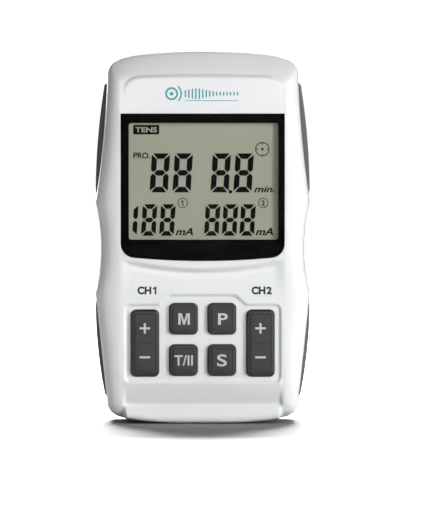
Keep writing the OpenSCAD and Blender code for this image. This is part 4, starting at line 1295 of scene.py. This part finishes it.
buildClip()
ribRow("clipRibs", {"count": clipSizes["ribs"], "pitch": (0, 0, 1.7), "length": 11.0, "radius": 0.4,
                    "start": (0, clipHigh.y - 0.4, clipHigh.z - 10.2)},
       "belt_clip", "mouldedAbs")


# wire is the wire's radius, coilRise is from the pin to the wire's middle
springSizes = {"wire": 0.25, "turns": 5, "stepsPerTurn": 24, "coilRise": 0.7}


def buildSpring():
    # a torsion spring round the pin, with one leg on the casing and one under the clip
    s = springSizes
    pinLow, pinHigh = boxMm("clip_pin")
    low, high = boxMm("clip_spring")
    y, z = (pinLow.y + pinHigh.y) / 2, (pinLow.z + pinHigh.z) / 2
    r = (pinHigh.z - pinLow.z) / 2 + s["coilRise"]
    half = min(high.x, -low.x) - s["wire"] - 0.2
    steps = s["stepsPerTurn"] * s["turns"]
    coil = []
    for i in range(1, steps):
        a = 2 * math.pi * i / s["stepsPerTurn"]
        coil.append((half * (2 * i / steps - 1), y - r * math.cos(a), z + r * math.sin(a)))
    foot, tip = low.y + s["wire"], high.y - s["wire"]
    lowLeg = [(-half - 0.2, foot, low.z + s["wire"]), (-half - 0.2, foot + 0.2, z - 4),
              (-half - 0.1, y - r - 0.1, z - 1.4)]
    highLeg = [(half + 0.1, y - r + 0.3, z + 1.6), (half + 0.2, y - r + 1.5, z + 3.8),
               (half + 0.2, tip, high.z - s["wire"])]
    path = lowLeg + coil + highLeg
    curve = bpy.data.curves.new("springPath", "CURVE")
    curve.dimensions = "3D"
    curve.bevel_depth = s["wire"] * mm
    curve.bevel_resolution = 3
    curve.use_fill_caps = True
    spline = curve.splines.new("POLY")
    spline.points.add(len(path) - 1)
    for point, place in zip(spline.points, path):
        point.co = (*(c * mm for c in place), 1)
    wire = newObject("springWire", curve)
    mesh = bakedMesh(wire)
    bpy.data.objects.remove(wire)
    obj = newObject("clipSpring", mesh)
    for poly in mesh.polygons:
        poly.use_smooth = True
    dress(obj, "springSteel")
    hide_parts("clip_spring")
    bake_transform(obj)


buildSpring()


# ---- soft side grips

gripSizes = {
    "low": 8.3, "high": 110.7, "round": 0.5, "under": 1.2, "waistIn": 0.42,
    "ribs": 8, "ribPitch": 2.6, "ribsZ": 57.25, "ribIn": 0.28,
}


def gripLine():
    # outermost x of a grip for each z
    s = outlineSizes
    low = bow((halfWide - 3.2, gripSizes["low"] - 0.3), (halfWide, s["waistLow"] - 4), 0.8, 40)
    high = bow((halfWide, s["waistHigh"] + 4), (halfWide - 3.1, gripSizes["high"] + 0.3), 0.7, 40)
    z = np.linspace(s["waistLow"] - 1, s["waistHigh"] + 1, 50)
    waist = np.column_stack([shellSide(z) - gripSizes["waistIn"], z])
    line = np.vstack([low, waist, high])
    zs = np.linspace(gripSizes["low"], gripSizes["high"], 260)
    return zs, eased(np.interp(zs, line[:, 1], line[:, 0]), 4)


def buildGrip(side):
    half, r = outlineSizes["gripY"] - 0.06, gripSizes["round"]
    rings = []
    for z, x in zip(gripZ, gripX):
        base = shellSide(z) - gripSizes["under"]
        thick = max(x - base, 0.25)
        nearEnd = min(z - gripZ[0], gripZ[-1] - z)
        thick *= min(1, 0.35 + 0.65 * math.sqrt(min(nearEnd, 1)))
        rr = min(r, thick * 0.9)
        ring = [(base, -half), (base + thick - rr, -half)]
        ring += [(base + thick - rr + rr * math.sin(a), -half + rr - rr * math.cos(a))
                 for a in np.radians((18, 36, 54, 72, 90))]
        ring += [(px, -py) for px, py in reversed(ring)]
        rings.append([(side * px, py, z) for px, py in ring])
    name = "Right" if side > 0 else "Left"
    obj = closedMesh("grip" + name, *ringLoft(rings), "casing", "grip_grey", 40)
    crisp(obj, 40)
    dress(obj, "overmouldTpe")
    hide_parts(name.lower() + "_side_grip")
    s = gripSizes
    ribX = np.interp(s["ribsZ"], gripZ, gripX) - s["ribIn"]
    ribRow("gripRibs" + name,
           {"count": s["ribs"], "pitch": (0, 0, s["ribPitch"]), "length": 8.6, "radius": 0.5,
            "start": (side * ribX, 0, s["ribsZ"] - (s["ribs"] - 1) * s["ribPitch"] / 2), "turn": (0, 0, 90)},
           "casing", "overmouldTpe")


gripZ, gripX = gripLine()
for side in (-1, 1):
    buildGrip(side)
print("rear, door, clip and grips made")


# ---- CAD nodes that keep their shape get their finish

nodeFinish = {
    "polariser": ["lcd_front_glass", "lcd_reflector", "lcd_segments"],
    "displayGlass": ["lcd_rear_glass"],
    "holderPlastic": ["lcd_holder"],
    "zebraRubber": ["zebra_strip_upper", "zebra_strip_lower"],
    "siliconeMat": ["keypad_mat"],
    "carbonPill": ["mode_pill", "program_pill", "timer_pill", "set_pill", "ch1_pills", "ch2_pills"],
    "solderMask": ["main_pcb"],
    "goldFlash": ["key_contacts", "socket_sleeves"],
    "chipEpoxy": ["microcontroller", "driver_chip", "chip_parts"],
    "springSteel": ["clip_pin", "crystal"],
    "ferrite": ["boost_coil", "transformer_core_1", "transformer_core_2"],
    "copperWinding": ["transformer_winding_1", "transformer_winding_2"],
    "shrinkSleeve": ["capacitors"],
    "blackNylon": ["buzzer", "output_socket_1", "output_socket_2"],
    "nickelPlate": ["cell_springs", "cell_plates"],
    "pvcRed": ["battery_wire_red"],
    "pvcBlack": ["battery_wire_black"],
    "zincScrew": ["housing_screws", "board_screws"],
    "cellSleeve": ["battery_cell_1", "battery_cell_2", "battery_cell_3", "battery_cell_4"],
}
for finish, names in nodeFinish.items():
    for name in names:
        dress(frame["nodes"][name], finish)
print("nodes finished")


# ---- floor, light and camera

studio = {
    "distance": 1.5, "elevation": 2.5,      # the camera's, in metres and degrees
    "aim": (2.7, 54.6), "tall": 165.4,      # millimetres: what it looks at, and how much it sees
    "room": 0.1, "window": 1.5, "windowToward": (0.45, -0.88, 0.0),     # even light, and a broad bright area
    "glowNear": 0.12, "glowFar": 0.4,       # the floor glows from here outwards, in metres
}

floorMesh = bpy.data.meshes.new("floor")
floorMesh.from_pydata([(-3, -3, 0), (3, -3, 0), (3, 3, 0), (-3, 3, 0)], [], [(0, 1, 2, 3)])
floor = newObject("floor", floorMesh)
floorMat, floorTree, floorShader, floorWhere = newMaterial("paperSweep")
distance = addNode(floorTree, "ShaderNodeVectorMath", {"operation": "LENGTH"}, {0: floorWhere})
glow = addNode(floorTree, "ShaderNodeMapRange", {"interpolation_type": "SMOOTHSTEP"},
               {0: distance.outputs["Value"], 1: studio["glowNear"], 2: studio["glowFar"], 3: 0.0, 4: 0.95})
floorTree.links.new(glow.outputs[0], floorShader.inputs["Emission Strength"])
floorShader.inputs["Emission Color"].default_value = (1, 1, 1, 1)
floorShader.inputs["Base Color"].default_value = toLinear("#9c9c9c")
floorShader.inputs["Roughness"].default_value = 0.9
floorShader.inputs["Specular IOR Level"].default_value = 0.1
# only the camera sees the paper this bright; what it throws back on the casing is held down
dull = addNode(floorTree, "ShaderNodeBsdfDiffuse", {}, {"Color": toLinear("#525252")})
floorRay = addNode(floorTree, "ShaderNodeLightPath")
paper = addNode(floorTree, "ShaderNodeMixShader", {},
                {0: floorRay.outputs["Is Camera Ray"], 1: dull.outputs[0], 2: floorShader.outputs[0]})
floorTree.links.new(paper.outputs[0], floorTree.nodes["Material Output"].inputs[0])
floorMesh.materials.append(floorMat)

world = bpy.data.worlds.new("studio")
bpy.context.scene.world = world
world.use_nodes = True
sky = world.node_tree
toward = addNode(sky, "ShaderNodeVectorMath", {"operation": "DOT_PRODUCT"},
                 {0: addNode(sky, "ShaderNodeTexCoord").outputs["Generated"],
                  1: Vector(studio["windowToward"]).normalized()})
sideways = addNode(sky, "ShaderNodeMapRange", {"interpolation_type": "SMOOTHSTEP"},
                   {0: toward.outputs["Value"], 1: 0.5, 2: 0.95, 3: studio["room"], 4: studio["window"]})
skyRay = addNode(sky, "ShaderNodeLightPath")
shown = addNode(sky, "ShaderNodeMix", {"data_type": "FLOAT"},
                {0: skyRay.outputs["Is Camera Ray"], 2: sideways.outputs[0], 3: 1.05})
backdrop = sky.nodes["Background"]
backdrop.inputs[0].default_value = (1, 1, 1, 1)
sky.links.new(shown.outputs[0], backdrop.inputs[1])


def softLight(name, at, aim, size, power):
    data = bpy.data.lights.new(name, "AREA")
    data.shape = "RECTANGLE"
    data.size, data.size_y = size
    data.energy = power
    obj = newObject(name, data)
    obj.location = at
    obj.rotation_euler = (Vector(aim) - Vector(at)).to_track_quat("-Z", "Y").to_euler()
    return obj


# each light's place, what it points at, its size in metres and its power in watts
softLight("stripRight", (0.62, -0.5, 0.08), (0, 0, 0.06), (0.2, 0.5), 3.2)
softLight("frontFill", (-0.1, -1.3, 0.06), (0, 0, 0.06), (0.6, 0.4), 1.05)
# the floor has a lamp of its own, behind and above, for the shadow under the casing
floorLamp = softLight("floorLamp", (0.0, 0.24, 0.5), (0, -0.03, 0), (0.36, 0.16), 30.0)
onlyFloor = bpy.data.collections.new("onlyFloor")
onlyFloor.objects.link(floor)
floorLamp.light_linking.receiver_collection = onlyFloor
# and the casing has one behind it, which leaves the floor alone
backLamp = softLight("backLamp", (-0.35, 1.15, 0.3), (0, 0, 0.06), (0.6, 0.5), 5.5)
onlyPieces = bpy.data.collections.new("onlyPieces")
for piece in bpy.context.scene.objects:
    if piece.type == "MESH" and piece is not floor:
        onlyPieces.objects.link(piece)
backLamp.light_linking.receiver_collection = onlyPieces

camera = newObject("camera", bpy.data.cameras.new("camera"))
tilt = math.radians(studio["elevation"])
aim = Vector((studio["aim"][0] * mm, frontY * mm, studio["aim"][1] * mm))
camera.location = aim + Vector((0, -math.cos(tilt), math.sin(tilt))) * studio["distance"]
camera.rotation_euler = (aim - camera.location).to_track_quat("-Z", "Y").to_euler()
camera.data.lens = camera.data.sensor_width * studio["distance"] / (studio["tall"] * mm)
camera.data.clip_end = 20
bpy.context.scene.camera = camera
bpy.context.scene.view_settings.view_transform = "Standard"
